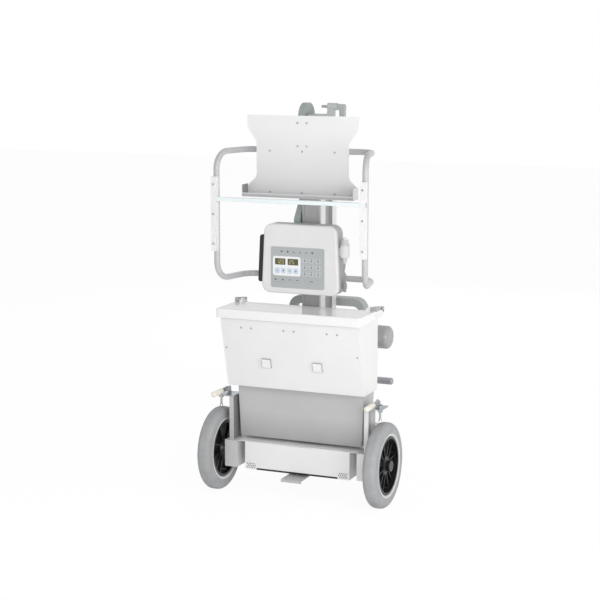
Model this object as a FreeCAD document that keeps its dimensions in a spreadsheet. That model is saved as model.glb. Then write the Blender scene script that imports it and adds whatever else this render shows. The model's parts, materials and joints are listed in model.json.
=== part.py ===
"""Mobile x-ray machine: a parametric model in millimetres.

X runs to the operator's right, Y away from the operator, Z up.  The pieces are
drawn with the wheel axle at Y = 0; frame_shift then puts the origin on the
floor, midway between the front and the back of the machine.
"""
import FreeCAD
import Part
import Sketcher
import math
import os

V = FreeCAD.Vector
doc = FreeCAD.newDocument("MobileXrayMachine")
sheet = doc.addObject("Spreadsheet::Sheet", "Sizes")

# Driving dimensions, in millimetres unless the note says otherwise.
DRIVING_SIZES = (
    # Fits
    ("running_gap", 0.05, "radial clearance of a shaft in its bore"),
    ("seat_gap", 0.3, "clearance between pieces that seat on each other"),
    # Wheels
    ("wheel_diameter", 312, "pneumatic-size wheel over the tyre"),
    ("rim_diameter", 214, "seat of the tyre on the hub"),
    ("tyre_width", 51, "tyre across its walls"),
    ("tyre_shoulder", 19, "rounding of the tread's shoulders"),
    ("wheel_track", 650, "between the wheels' middle planes"),
    ("rim_width", 47, "hub rim across"),
    ("rim_wall", 9, "thickness of the hub's rim ring"),
    ("hub_inner_half", 25, "hub boss from the middle plane inwards"),
    ("hub_outer_half", 34, "hub boss from the middle plane outwards"),
    ("hub_boss_diameter", 54, "hub boss"),
    ("hub_cap_diameter", 40, "closed outer end of the hub boss"),
    ("hub_cap_thickness", 5, "closed outer end of the hub boss"),
    ("spoke_root", 24, "spoke across, at the boss"),
    ("spoke_tip", 44, "spoke across, at the rim"),
    ("spoke_depth", 26, "spoke along the axle"),
    ("spoke_rib", 4, "rib along each edge of a spoke"),
    ("spoke_web", 6, "web between a spoke's ribs"),
    ("window_start", 6, "spoke windows above the boss"),
    ("window_stop", 3, "spoke windows below the rim's seat"),
    ("window_root_bend", 4, "spoke windows' corners at the boss"),
    ("window_tip_bend", 8, "spoke windows' corners at the rim"),
    ("dish_start", 5, "hollow between a spoke's ribs, above the boss"),
    ("dish_stop", 4, "hollow between a spoke's ribs, below the rim's seat"),
    ("dish_bend", 3, "corners of the hollow between a spoke's ribs"),
    ("hub_cap_slope", 4, "slope from the boss to its closed end"),
    ("axle_diameter", 20, "stub axle"),
    ("axle_shoulder_diameter", 38, "shoulder of the stub axle"),
    # Base
    ("block_width", 50, "axle block across"),
    ("block_outer_half", 288, "axle block's outer face from the middle"),
    ("block_front", 36, "axle block in front of the axle"),
    ("block_back", 110, "axle block behind the axle"),
    ("block_bottom", 98, "axle block's underside"),
    ("block_height", 101, "axle block"),
    ("beam_wall", 3, "wall of the welded tubes"),
    ("beam_front", 50, "cross beam's front face behind the axle"),
    ("beam_bottom", 110, "cross beam's underside"),
    ("beam_height", 60, "cross beam"),
    ("leg_width", 50, "front leg across"),
    ("leg_height", 52, "front leg"),
    ("leg_end", 606, "front leg's end behind the axle"),
    ("leg_nose_run", 66, "slope on top of the leg's end"),
    ("leg_nose_drop", 22, "slope on top of the leg's end"),
    ("member_front", 240, "leg cross member's near face"),
    ("member_width", 60, "leg cross member along Y"),
    ("plate_half_width", 190, "chassis plate"),
    ("plate_end", 310, "chassis plate's far edge"),
    ("plate_thickness", 8, "chassis plate"),
    # Casters
    ("caster_diameter", 100, "caster wheel"),
    ("caster_tread", 30, "caster wheel across"),
    ("caster_half_track", 120, "caster swivel from the middle"),
    ("caster_reach", 560, "caster swivel behind the axle"),
    ("caster_trail", 28, "caster wheel behind its swivel"),
    ("caster_stem_diameter", 16, "swivel stem"),
    ("caster_boss_diameter", 44, "swivel housing under the leg"),
    ("caster_crown_height", 5, "fork crown plate"),
    ("caster_fork_gap", 2.5, "fork wall from the wheel"),
    ("caster_fork_wall", 3, "fork wall"),
    ("caster_axle_diameter", 10, "caster axle"),
    # Battery cover, deck and tilt step
    ("sheet_wall", 2, "sheet metal"),
    ("cover_half_width", 208, "battery cover"),
    ("cover_front", 30.5, "battery cover in front of the axle"),
    ("cover_bottom", 94, "battery cover's underside"),
    ("cover_top", 197.6, "battery cover's upper edge"),
    ("notch_half_width", 54.5, "notch in the cover's upper edge"),
    ("notch_depth", 8, "notch in the cover's upper edge"),
    ("vent_half_width", 162, "slot at the cover's lower edge"),
    ("vent_height", 7, "slot at the cover's lower edge"),
    ("battery_length", 144, "one battery along X"),
    ("battery_gap", 12, "between the two batteries"),
    ("battery_height", 84, "battery"),
    ("tray_thickness", 3, "battery tray"),
    ("module_half_width", 150, "power module"),
    ("module_height", 150, "power module"),
    ("deck_end", 48, "deck's far edge behind the axle"),
    ("step_half_width", 40, "tilt step"),
    ("step_front", 85, "tilt step in front of the axle"),
    ("step_height", 86, "tilt step's tread above the floor"),
    ("step_back", 95, "tilt step's upright behind the axle"),
    ("step_flange", 40, "tilt step's flange under the cross beam"),
    ("step_lip", 10, "tilt step's front lip"),
    ("step_sheet", 3, "tilt step's sheet"),
    # Posts and lower housing
    ("post_inner_half", 258, "wheel post's web from the middle"),
    ("post_flange", 18, "wheel post across"),
    ("post_front", 20, "wheel post in front of the axle"),
    ("post_depth", 73, "wheel post along Y"),
    ("post_wall", 3, "wheel post's sheet"),
    ("post_top", 361, "wheel post's top above the floor"),
    ("housing_top_half", 250, "lower housing at its top"),
    ("housing_bottom_half", 240, "lower housing at its bottom"),
    ("housing_front", 5, "lower housing behind the axle"),
    ("housing_bottom", 212, "lower housing's lower edge"),
    # Column
    ("column_half_width", 38, "column"),
    ("column_front", 107, "column's near face behind the axle"),
    ("column_depth", 161, "column along Y"),
    ("column_top", 1365, "column's top above the floor"),
    ("column_wall", 6, "column extrusion"),
    ("column_rounding", 6, "column's corners"),
    ("channel_width", 69, "side channel of the column"),
    ("channel_depth", 11, "side channel of the column"),
    ("cap_thickness", 7, "column cap plate"),
    ("pivot_block_depth", 54, "arm pivot block along Y"),
    ("pivot_block_top", 1402, "arm pivot block's top"),
    # Detector bin and lid
    ("bin_half_width", 268, "detector bin"),
    ("bin_floor", 412, "detector bin's underside"),
    ("bin_rim", 702, "detector bin's rim"),
    ("bin_lip", 22, "upright lip above the bin's slanted front"),
    ("bin_front_low", 45, "bin front at its underside, before the axle"),
    ("bin_front_high", 110, "bin front at its shoulder, before the axle"),
    ("bin_back", 92, "bin's back behind the axle"),
    ("bin_rail_height", 30, "mounting rail on the bin's back"),
    ("bin_rail_half_width", 60, "mounting rail on the bin's back"),
    ("bumper_size", 35, "square bumper"),
    ("bumper_thickness", 8, "square bumper"),
    ("bumper_spacing", 200, "between the bumpers"),
    ("bumper_level", 511, "bumper's middle above the floor"),
    ("lid_overhang", 12, "lid beyond the bin's side"),
    ("lid_front", 122, "lid in front of the axle"),
    ("lid_back", 38.7, "lid behind the axle"),
    ("lid_lap", 25, "lid's lower edge below the bin's rim"),
    ("lid_height", 33, "lid"),
    ("lid_wall", 3, "lid's wall"),
    ("lid_corner", 8, "lid's upright front corners"),
    ("lid_rounding", 4, "lid's outer edges"),
    ("hinge_y", 50, "lid hinge behind the axle"),
    ("hinge_rise", 14, "lid hinge above the bin's rim"),
    ("hinge_pin_diameter", 6, "lid hinge pin"),
    ("hinge_ear_diameter", 16, "lid hinge ear"),
    ("hinge_ear_width", 10, "lid hinge ear along X"),
    ("hinge_ear_inset", 22, "hinge ear inside the bin's side"),
    ("hinge_plate_back", 126, "hinge plate's far end"),
    ("hinge_plate_drop", 24, "hinge plate below the bin's rim"),
    ("hinge_plate_rise", 10, "hinge plate above the hinge"),
    ("hinge_plate_slope", 11, "fall of the hinge plate's upper edge"),
    ("hinge_plate_taper", 9, "rise of the hinge plate's lower edge"),
    ("hinge_lug_reach", 20, "hinge lug behind the hinge"),
    ("hinge_bolt_diameter", 9, "heads of the hinge plate's bolts"),
    ("hinge_bolt_inset", 12, "hinge plate's far bolt from its end"),
    ("hinge_bolt_spacing", 18, "between the hinge plate's bolts, along Y"),
    # Handle
    ("tube_diameter", 22, "handle tube"),
    ("handle_half_width", 286, "handle tube from the middle, at the rails"),
    ("handle_back_half", 245, "handle tube's far corners from the middle"),
    ("handle_front", 92, "handle tube in front of the axle"),
    ("handle_top", 1274, "upper handle tube"),
    ("handle_bottom", 813, "lower handle tube"),
    ("handle_split", 1053, "where the two tubes meet"),
    ("handle_bend", 62, "bend of the handle tubes"),
    ("rail_width", 20, "handle rail across"),
    ("rail_front", 121, "handle rail in front of the axle"),
    ("rail_depth", 32, "handle rail along Y"),
    ("rail_bottom", 918, "handle rail's lower end"),
    ("rail_length", 269, "handle rail"),
    ("bar_bottom", 1100, "cross bar's underside"),
    ("bar_height", 15, "cross bar"),
    ("clamp_half_width", 28, "tube clamp"),
    ("clamp_height", 44, "tube clamp"),
    ("clamp_wall", 5, "tube clamp in front of its tube"),
    # Laptop panel
    ("panel_front", 22, "laptop panel's face behind the axle"),
    ("panel_top", 1403, "laptop panel's top"),
    ("panel_bottom", 1111, "laptop panel's bottom"),
    ("panel_half_width", 216, "laptop panel"),
    ("panel_waist_half", 179.5, "laptop panel's waist"),
    ("panel_upper_turn", 1360, "where the panel starts to narrow"),
    ("panel_waist_high", 1308, "upper end of the waist"),
    ("panel_waist_low", 1180, "lower end of the waist"),
    ("panel_lower_turn", 1148, "where the panel is wide again"),
    ("panel_turn_rounding", 34, "the panel's curves into its waist"),
    ("tray_depth", 52, "laptop tray in front of the panel"),
    ("tray_lip", 14, "laptop tray's front lip"),
    ("tray_side", 43, "laptop tray's side flange"),
    ("bracket_half_width", 30, "laptop panel bracket"),
    ("bracket_arm_reach", 140, "cross straps of the bracket, from the middle"),
    ("screw_diameter", 7, "heads of the panel's screws"),
    ("rail_screw_diameter", 8, "heads of the rails' screws"),
    ("screw_height", 2, "heads of the screws"),
    ("screw_pair_spacing", 35.2, "between the panel's paired screws"),
    ("screw_row_reach", 126, "panel's outer screws from its middle"),
    ("screw_row_high", 1275, "panel's upper row of screws"),
    ("screw_row_low", 1126.5, "panel's lower row of screws"),
    ("screw_pair_top_drop", 26, "panel's top pair below its top"),
    ("screw_pair_rise", 19, "panel's middle pair above the upper row"),
    ("rail_screw_inset", 27.5, "rails' end screws from the rails' ends"),
    ("bar_screw_spacing", 9, "between the cross bar's end screws"),
    # Console
    ("console_front", 2, "console's face before the axle"),
    ("console_shell_depth", 16, "console's front shell along Y"),
    ("console_back", 76, "console's back behind the axle"),
    ("console_bottom", 760, "console's bottom"),
    ("console_top", 1013, "console's top"),
    ("console_top_half", 140, "console at its top"),
    ("console_bottom_half", 152, "console at its bottom"),
    ("console_rounding", 32, "console's corners"),
    ("console_edge", 7, "rounding of the console's face edge"),
    ("console_wall", 3, "console's shells"),
    ("overlay_left", -113, "membrane's left edge"),
    ("overlay_right", 97, "membrane's right edge"),
    ("overlay_bottom", 781, "membrane's lower edge"),
    ("overlay_top", 931, "membrane's upper edge"),
    ("overlay_thickness", 1, "membrane"),
    ("grip_gap", 13, "finger gap beside the console"),
    ("grip_width", 24, "console grip across"),
    ("grip_thickness", 16, "console grip along Y"),
    ("grip_bottom", 790, "console grip's lower end"),
    ("grip_top", 965, "console grip's upper end"),
    ("grip_y", 58, "console grip's middle behind the axle"),
    # Hand switch
    ("switch_x", 163, "hand switch from the middle"),
    ("switch_y", 30, "hand switch behind the axle"),
    ("switch_diameter", 26, "hand switch barrel"),
    ("switch_top", 964, "hand switch barrel's top"),
    ("switch_shoulder", 905, "where the barrel starts to taper"),
    ("switch_bottom", 877, "hand switch's cord end"),
    ("switch_tip_diameter", 10, "hand switch at its cord end"),
    ("button_diameter", 15, "exposure button"),
    ("button_height", 8, "exposure button above the barrel"),
    ("button_travel", 4, "exposure button"),
    ("holder_bottom", 900, "switch holder's lower edge"),
    ("holder_height", 42, "switch holder"),
    ("holder_wall", 4, "switch holder's cup"),
    ("cord_diameter", 6, "switch cord"),
    ("cord_length", 66, "switch cord"),
    ("plug_diameter", 16, "plug on the cord"),
    ("plug_length", 36, "plug on the cord"),
    # Brakes
    ("brake_x", 300, "brake lever from the middle"),
    ("brake_pivot_y", 20, "brake pivot behind the axle"),
    ("brake_pivot_level", 380, "brake pivot above the floor"),
    ("brake_pin_x", 316, "brake pin from the middle"),
    ("brake_pin_front", 6, "brake pin in front of the axle"),
    ("brake_foot_level", 320, "brake pin's foot above the floor"),
    ("brake_plate_thickness", 4, "brake bracket"),
    ("brake_strap", 5, "brake lever's steel"),
    ("brake_axle_diameter", 8, "brake pivot and pressing pin"),
    ("brake_head_diameter", 14, "head of the brake pivot and foot of the pin"),
    ("brake_finger_diameter", 6, "finger of the lever over the pin"),
    ("brake_guide_diameter", 18, "guide of the pressing pin"),
    ("brake_guide_depth", 8, "guide below the bracket"),
    ("brake_grip_diameter", 21, "brake grip"),
    ("brake_grip_end", 110, "brake grip's end before the axle"),
    ("brake_grip_start", 34, "brake grip's start before the axle"),
    # Swing arm
    ("arm_pivot_y", 190, "arm pivot behind the axle"),
    ("arm_pivot_level", 1388, "arm pivot above the floor"),
    ("arm_length", 488, "between the arm's pivots"),
    ("arm_inner", 42, "arm's near face from the middle"),
    ("arm_thickness", 22, "arm along X"),
    ("arm_end_diameter", 110, "arm's rounded ends"),
    ("arm_knee_reach", 94, "arm's knee in front of its pivots"),
    ("arm_knee_drop", 284, "start of the knee below the upper pivot"),
    ("arm_knee_length", 30, "arm's knee"),
    ("arm_waist", 64, "arm between its ends"),
    ("arm_axle_diameter", 16, "arm's axles"),
    ("lock_level", 1430, "lock lever's axis above the floor"),
    ("lock_barrel_diameter", 26, "lock barrel"),
    ("lock_barrel_start", 32, "lock barrel from the middle"),
    ("lock_barrel_end", 70, "lock barrel from the middle"),
    ("lock_lug_length", 26, "lug under the lock barrel"),
    ("lock_lug_depth", 18, "lug under the lock barrel, along Y"),
    ("lock_lug_drop", 14, "lug under the lock barrel, below the pivot block's top"),
    ("lock_pin_diameter", 10, "lock pin"),
    ("lock_lever_end", 101, "lock lever from the middle"),
    ("lock_lever_drop", 92, "lock lever below its axis"),
    # Head
    ("head_x", -15, "middle of the head"),
    ("head_y", 345, "tilt axis behind the axle"),
    ("head_level", 557, "tilt axis above the floor"),
    ("head_diameter", 130, "tube head"),
    ("head_half_length", 129, "tube head from its middle"),
    ("journal_diameter", 46, "tilt journal"),
    ("end_cap_diameter", 88, "tube head's end caps"),
    ("head_reach", 244, "end caps' outer faces from the middle"),
    ("yoke_half_width", 154, "yoke over its arms"),
    ("yoke_arm", 20, "yoke arm along X"),
    ("yoke_depth", 50, "yoke along Y"),
    ("yoke_y", 320, "yoke's middle behind the axle"),
    ("yoke_top", 705, "yoke's top"),
    ("yoke_band", 30, "yoke's top band"),
    ("yoke_rounding", 46, "yoke's shoulders"),
    ("stem_width", 40, "yoke stem"),
    ("collimator_half", 75, "collimator housing, from its middle"),
    ("collimator_bottom", 346, "collimator's lower face"),
    ("collimator_port", 90, "beam window"),
    ("dial_diameter", 34, "collimator dial"),
    ("dial_length", 18, "collimator dial"),
    ("dial_spacing", 80, "between the dials"),
    ("dial_shaft_diameter", 8, "collimator dial's shaft"),
    ("dial_height", 66, "dials above the collimator's lower face"),
    ("bar_diameter", 27, "head handle"),
    ("head_bar_y", 465, "head handle behind the axle"),
    ("head_bar_half", 211, "head handle from its middle"),
    ("head_bar_height", 14, "head handle above the collimator's lower face"),
    ("stalk_spacing", 112, "between the head handle's stalks"),
    ("stalk_diameter", 16, "head handle's stalk"),
    ("stalk_flange_diameter", 28, "flange of the stalk"),
)


class Size:
    """A length that holds its value and the spreadsheet formula it comes from."""

    def __init__(self, value, text):
        self.value = value
        self.text = text

    def __add__(self, other):
        return Size(self.value + number(other), "(%s + %s)" % (self.text, formula(other)))

    def __sub__(self, other):
        return Size(self.value - number(other), "(%s - %s)" % (self.text, formula(other)))

    def __mul__(self, other):
        return Size(self.value * number(other), "(%s * %s)" % (self.text, formula(other)))

    def __truediv__(self, other):
        return Size(self.value / number(other), "(%s / %s)" % (self.text, formula(other)))

    def __rsub__(self, other):
        return Size(number(other) - self.value, "(%s - %s)" % (formula(other), self.text))

    def __neg__(self):
        return Size(-self.value, "(0 - %s)" % self.text)

    __radd__ = __add__
    __rmul__ = __mul__


def number(size):
    """Value of a size or of a plain number."""
    return size.value if isinstance(size, Size) else float(size)


def formula(size):
    """Spreadsheet formula of a size or of a plain number."""
    return size.text if isinstance(size, Size) else repr(float(size))


class Sizes:
    """The spreadsheet's cells as sizes, by name."""


S = Sizes()
for row, (name, value, note) in enumerate(DRIVING_SIZES, start=1):
    sheet.set("A%d" % row, name)
    sheet.set("B%d" % row, str(value))
    sheet.set("C%d" % row, note)
    sheet.setAlias("B%d" % row, name)
doc.recompute()
for name, value, note in DRIVING_SIZES:
    setattr(S, name, Size(float(sheet.get(name)), "Sizes." + name))

# Sizes that follow from the driving ones.
AXLE_LEVEL = S.wheel_diameter / 2
BEAM_TOP = S.beam_bottom + S.beam_height
LEG_BOTTOM = BEAM_TOP - S.leg_height
PLATE_TOP = BEAM_TOP + S.plate_thickness
BLOCK_TOP = S.block_bottom + S.block_height
BLOCK_INNER = S.block_outer_half - S.block_width
BIN_SHOULDER = S.bin_rim - S.bin_lip
LID_BOTTOM = S.bin_rim - S.lid_lap
HINGE_LEVEL = S.bin_rim + S.hinge_rise
CASTER_FAR = S.caster_reach + S.caster_trail + S.caster_diameter / 2
FRAME_SHIFT = (S.wheel_diameter / 2 - CASTER_FAR) / 2
ARM_LOW_LEVEL = S.arm_pivot_level - S.arm_length
BIN_SLOPE = math.atan2(
    number(S.bin_front_high - S.bin_front_low), number(BIN_SHOULDER - S.bin_floor)
)
SIDES = (("left", -1), ("right", 1))
FULL_TURN = 360
SPOKES = 6

parts = []


# Helpers
def bind(item, prop, size):
    """Bind one property to its formula."""
    item.setExpression(prop, formula(size))


def spot(item, corner, rotation=None):
    """Bind an item's place, with a fixed rotation."""
    if rotation is not None:
        item.Placement = FreeCAD.Placement(V(0, 0, 0), rotation)
    for axis, size in zip("xyz", corner):
        bind(item, "Placement.Base." + axis, size)
    return item


def block(low, high):
    """Rectangular block between two corners."""
    item = doc.addObject("Part::Box", "Block")
    for prop, start, end in zip(("Length", "Width", "Height"), low, high):
        bind(item, prop, end - start if isinstance(end, Size) else Size(0, "0") + end - start)
    return spot(item, low)


TURNS = {
    "x": FreeCAD.Rotation(V(0, 1, 0), 90),
    "y": FreeCAD.Rotation(V(1, 0, 0), -90),
    "z": FreeCAD.Rotation(),
}


def rod(start, length, diameter, axis):
    """Cylinder from a point along +X, +Y or +Z."""
    item = doc.addObject("Part::Cylinder", "Rod")
    bind(item, "Radius", diameter / 2)
    bind(item, "Height", length)
    return spot(item, start, TURNS[axis])


def cone(start, length, first, last, axis):
    """Cone from a point along +X, +Y or +Z, with two diameters."""
    item = doc.addObject("Part::Cone", "Cone")
    bind(item, "Radius1", first / 2)
    bind(item, "Radius2", last / 2)
    bind(item, "Height", length)
    return spot(item, start, TURNS[axis])


def union(items, label="Union"):
    """One solid out of several that meet."""
    item = doc.addObject("Part::MultiFuse", label)
    item.Shapes = items
    item.Refine = True
    return item


def group(items, label="Group"):
    """Separate solids kept together."""
    item = doc.addObject("Part::Compound", label)
    item.Links = items
    return item


def without(base, tools, label="Cut"):
    """A solid less its tools."""
    item = doc.addObject("Part::Cut", label)
    item.Base = base
    item.Tool = tools[0] if len(tools) == 1 else group(tools, "Tools")
    return item


def feature(shape, label="Shape"):
    """A shape that is worked out from the sheet's values."""
    item = doc.addObject("Part::Feature", label)
    item.Shape = shape
    return item


def finish(item, label):
    """Name a finished sub-part and shift it into the machine's frame."""
    item.Label = label
    bind(item, "Placement.Base.y", FRAME_SHIFT)
    parts.append(item)
    return item


def mirror_pair(make, label):
    """A left and a right copy of a piece in one sub-part."""
    return finish(group([make(side) for name, side in SIDES], label), label)


def sided(side, low, high):
    """Lower and higher X of a span that lies between two distances from the middle."""
    return (low, high) if side > 0 else (-high, -low)


def plane_of(body, role):
    """The origin plane of a body."""
    return [plane for plane in body.Origin.OriginFeatures if plane.Role == role][0]


ROLES = {"xy": "XY_Plane", "xz": "XZ_Plane", "yz": "YZ_Plane"}


def corner_of(entry):
    """Corner place and rounding."""
    return entry if len(entry) == 3 else (entry[0], entry[1], None)


def unit(start, end):
    """Direction between two sketch points."""
    return (end - start).normalize()


def outline(sketch, entries):
    """Closed outline of straight runs with rounded corners, held to its sizes."""
    corners = [corner_of(entry) for entry in entries]
    points = [V(number(u), number(v), 0) for u, v, radius in corners]
    count = len(corners)
    starts = []
    ends = []
    arcs = []
    centres = []
    for index, (u, v, radius) in enumerate(corners):
        here = points[index]
        if radius is None:
            starts.append(here)
            ends.append(here)
            arcs.append(None)
            centres.append(None)
            continue
        before = unit(here, points[index - 1])
        after = unit(here, points[(index + 1) % count])
        half = before.getAngle(after) / 2
        reach = number(radius) / math.tan(half)
        centre = here + (before + after).normalize() * (number(radius) / math.sin(half))
        centres.append(centre)
        ends.append(here + before * reach)
        starts.append(here + after * reach)
        middle = centre + unit(centre, here) * number(radius)
        turn = (points[index] - points[index - 1]).cross(after)
        if turn.z > 0:
            arcs.append(Part.Arc(ends[index], middle, starts[index]))
        else:
            arcs.append(Part.Arc(starts[index], middle, ends[index]))
    lines = [
        sketch.addGeometry(Part.LineSegment(starts[index], ends[(index + 1) % count]), False)
        for index in range(count)
    ]
    held = []
    for index, (u, v, radius) in enumerate(corners):
        before = lines[index - 1]
        after = lines[index]
        if radius is None:
            held.append((Sketcher.Constraint("Coincident", before, 2, after, 1), None))
            held += hold(after, 1, u, v)
            continue
        arc = sketch.addGeometry(arcs[index], False)
        first, last = arc_ends(sketch, arc, ends[index])
        run_in = (ends[index] - points[index]) / number(radius)
        run_out = (starts[index] - points[index]) / number(radius)
        inwards = (centres[index] - points[index]) / number(radius)
        held += [
            (Sketcher.Constraint("Coincident", before, 2, arc, first), None),
            (Sketcher.Constraint("Coincident", after, 1, arc, last), None),
        ]
        held += hold(before, 2, beside(u, radius, run_in.x), beside(v, radius, run_in.y))
        held += hold(after, 1, beside(u, radius, run_out.x), beside(v, radius, run_out.y))
        centre = hold(arc, 3, beside(u, radius, inwards.x), beside(v, radius, inwards.y))
        held.append(centre[0] if abs(inwards.x) > abs(inwards.y) else centre[1])
    constrain(sketch, held)


def beside(size, radius, share):
    """Where a rounding ends, seen along one axis from its corner."""
    if abs(share) < 1e-9:
        return size
    return size + radius * Size(share, repr(share))


def arc_ends(sketch, arc, first):
    """Which end of an arc meets the run before it, and which the run after."""
    geometry = sketch.Geometry[arc]
    if geometry.StartPoint.distanceToPoint(first) < geometry.EndPoint.distanceToPoint(first):
        return (1, 2)
    return (2, 1)


def hold(item, end, u, v):
    """Constraints that hold a point to its two sizes from the sketch's origin."""
    return [
        (Sketcher.Constraint(kind, -1, 1, item, end, number(size)), size)
        for kind, size in (("DistanceX", u), ("DistanceY", v))
    ]


def constrain(sketch, held):
    """Add constraints together, so that the outline stays as drawn, and bind their sizes."""
    start = sketch.ConstraintCount
    sketch.addConstraint([constraint for constraint, size in held])
    for index, (constraint, size) in enumerate(held, start=start):
        if isinstance(size, Size):
            sketch.setExpression("Constraints[%d]" % index, formula(size))


def new_sketch(body, plane, level=None):
    """Sketch on an origin plane of its body, at a level along that plane's axis."""
    sketch = body.newObject("Sketcher::SketchObject", "Sketch")
    sketch.AttachmentSupport = (plane_of(body, ROLES[plane]), [""])
    sketch.MapMode = "FlatFace"
    if level is not None:
        bind(sketch, "AttachmentOffset.Base.z", -level if plane == "xz" else level)
    return sketch


def extrude(body, plane, entries, start, depth, kind="PartDesign::Pad"):
    """Pad or pocket of an outline, from a level along the positive axis."""
    sketch = new_sketch(body, plane, start)
    outline(sketch, entries)
    item = body.newObject(kind, "Extrude")
    item.Profile = sketch
    bind(item, "Length", depth)
    away = plane == "xz"
    item.Reversed = away if kind == "PartDesign::Pad" else not away
    sketch.Visibility = False
    doc.recompute()
    return item


def revolve(body, plane, entries, axis="H_Axis", kind="PartDesign::Revolution"):
    """Solid of revolution about an axis of its sketch."""
    sketch = new_sketch(body, plane)
    outline(sketch, entries)
    item = body.newObject(kind, "Turned")
    item.Profile = sketch
    item.ReferenceAxis = (sketch, [axis])
    item.Angle = FULL_TURN
    doc.recompute()
    return item


def fillet(body, base, radius, wanted):
    """Round the edges of a feature that a test picks."""
    names = [
        "Edge%d" % (index + 1)
        for index, edge in enumerate(base.Shape.Edges)
        if wanted(edge)
    ]
    item = body.newObject("PartDesign::Fillet", "Fillet")
    item.Base = (base, names)
    bind(item, "Radius", radius)
    doc.recompute()
    return item


def new_body(label):
    """Empty body."""
    return doc.addObject("PartDesign::Body", label)


def frame_outline(u, v):
    """Rectangle between two U and two V sizes."""
    return [(u[0], v[0]), (u[1], v[0]), (u[1], v[1]), (u[0], v[1])]


def path_wire(points, radius):
    """Straight runs joined by tangent arcs of one radius."""
    edges = []
    here = points[0]
    for index in range(1, len(points) - 1):
        corner = points[index]
        before = unit(corner, points[index - 1])
        after = unit(corner, points[index + 1])
        half = before.getAngle(after) / 2
        reach = radius / math.tan(half)
        first = corner + before * reach
        last = corner + after * reach
        centre = corner + (before + after).normalize() * (radius / math.sin(half))
        middle = centre + unit(centre, corner) * radius
        edges.append(Part.LineSegment(here, first).toShape())
        edges.append(Part.Arc(first, middle, last).toShape())
        here = last
    edges.append(Part.LineSegment(here, points[-1]).toShape())
    return Part.Wire(edges)


def tube_along(points, radius, diameter):
    """Round bar along a bent path."""
    path = path_wire(points, radius)
    direction = unit(points[0], points[1])
    profile = Part.Wire([Part.Circle(points[0], direction, diameter / 2).toShape()])
    return path.makePipeShell([profile], True, True)


# Wheels
def build_wheel(name, side):
    """Tyre, spoked hub; both turned about the wheel axis."""
    middle = side * (S.wheel_track / 2)
    half = S.tyre_width / 2
    outer = S.wheel_diameter / 2
    inner = S.rim_diameter / 2 + S.seat_gap
    tyre = new_body("Tyre")
    section = [
        (-half, inner, 5), (-half, outer, S.tyre_shoulder),
        (half, outer, S.tyre_shoulder), (half, inner, 5),
    ]
    revolve(tyre, "xz", section)
    spot(tyre, (middle, 0, AXLE_LEVEL))
    finish(tyre, "tyre_" + name)

    hub = new_body("Hub")
    rim = S.rim_diameter / 2
    seat = rim - S.rim_wall
    rim_half = S.rim_width / 2
    boss = S.hub_boss_diameter / 2
    cap = S.hub_cap_diameter / 2
    bore = S.axle_diameter / 2 + S.running_gap
    face = S.spoke_depth / 2
    outer_end = S.hub_outer_half
    section = [
        (-S.hub_inner_half, bore), (outer_end - S.hub_cap_thickness, bore),
        (outer_end - S.hub_cap_thickness, 0), (outer_end, 0), (outer_end, cap, 3),
        (face + S.hub_cap_slope, cap), (face, boss), (face, seat), (rim_half, seat),
        (rim_half, rim, 2), (-rim_half, rim, 2), (-rim_half, seat), (-face, seat),
        (-face, boss), (-S.hub_inner_half, cap),
    ]
    revolve(hub, "xz", [(side * entry[0],) + tuple(entry[1:]) for entry in section])
    window = tapered(boss + S.window_start, seat - S.window_stop, S.spoke_root, S.spoke_tip,
                     S.window_root_bend, S.window_tip_bend)
    near = boss + S.dish_start
    far = seat - S.dish_stop
    dish_root = S.spoke_root / 2 - S.spoke_rib
    dish_tip = S.spoke_tip / 2 - S.spoke_rib
    dish = turned([
        (-dish_root, near, S.dish_bend), (dish_root, near, S.dish_bend),
        (dish_tip, far, S.dish_bend), (-dish_tip, far, S.dish_bend),
    ], math.pi / SPOKES)
    cuts = [
        extrude(hub, "yz", window, -rim_half, S.rim_width, "PartDesign::Pocket"),
        extrude(hub, "yz", dish, S.spoke_web / 2, face, "PartDesign::Pocket"),
        extrude(hub, "yz", dish, -face - S.spoke_web / 2, face, "PartDesign::Pocket"),
    ]
    windows = hub.newObject("PartDesign::PolarPattern", "Windows")
    windows.Originals = cuts
    windows.Axis = (plane_axis(hub, "X_Axis"), [""])
    windows.Angle = FULL_TURN
    windows.Occurrences = SPOKES
    hub.Tip = windows
    doc.recompute()
    spot(hub, (middle, 0, AXLE_LEVEL))
    finish(hub, "hub_" + name)


def tapered(root, tip, root_width, tip_width, root_bend, tip_bend):
    """Window between two spokes that widen from the boss to the rim."""
    sector = math.tan(math.pi / SPOKES)
    lean = math.cos(math.pi / SPOKES) * 2
    near = root * sector - root_width / lean
    far = tip * sector - tip_width / lean
    return [(-near, root, root_bend), (near, root, root_bend),
            (far, tip, tip_bend), (-far, tip, tip_bend)]


def turned(entries, angle):
    """Outline turned about the sketch's origin."""
    cosine = math.cos(angle)
    sine = math.sin(angle)
    return [
        (u * cosine + v * sine, v * cosine - u * sine, radius) for u, v, radius in entries
    ]


def plane_axis(body, role):
    """An origin axis of a body."""
    return [axis for axis in body.Origin.OriginFeatures if axis.Role == role][0]


def build_wheel_axles():
    """Stub axles with a shoulder, one on each axle block."""
    def axle(side):
        face = S.block_outer_half
        hub_inner = S.wheel_track / 2 - S.hub_inner_half
        hub_outer = S.wheel_track / 2 + S.hub_outer_half
        shoulder = hub_inner - S.seat_gap
        end = hub_outer - S.hub_cap_thickness - S.seat_gap
        pieces = []
        for low, high, diameter in (
            (face, shoulder, S.axle_shoulder_diameter),
            (face, end, S.axle_diameter),
        ):
            start, stop = sided(side, low, high)
            pieces.append(rod((start, 0, AXLE_LEVEL), stop - start, diameter, "x"))
        return union(pieces)
    mirror_pair(axle, "wheel_axles")


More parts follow.
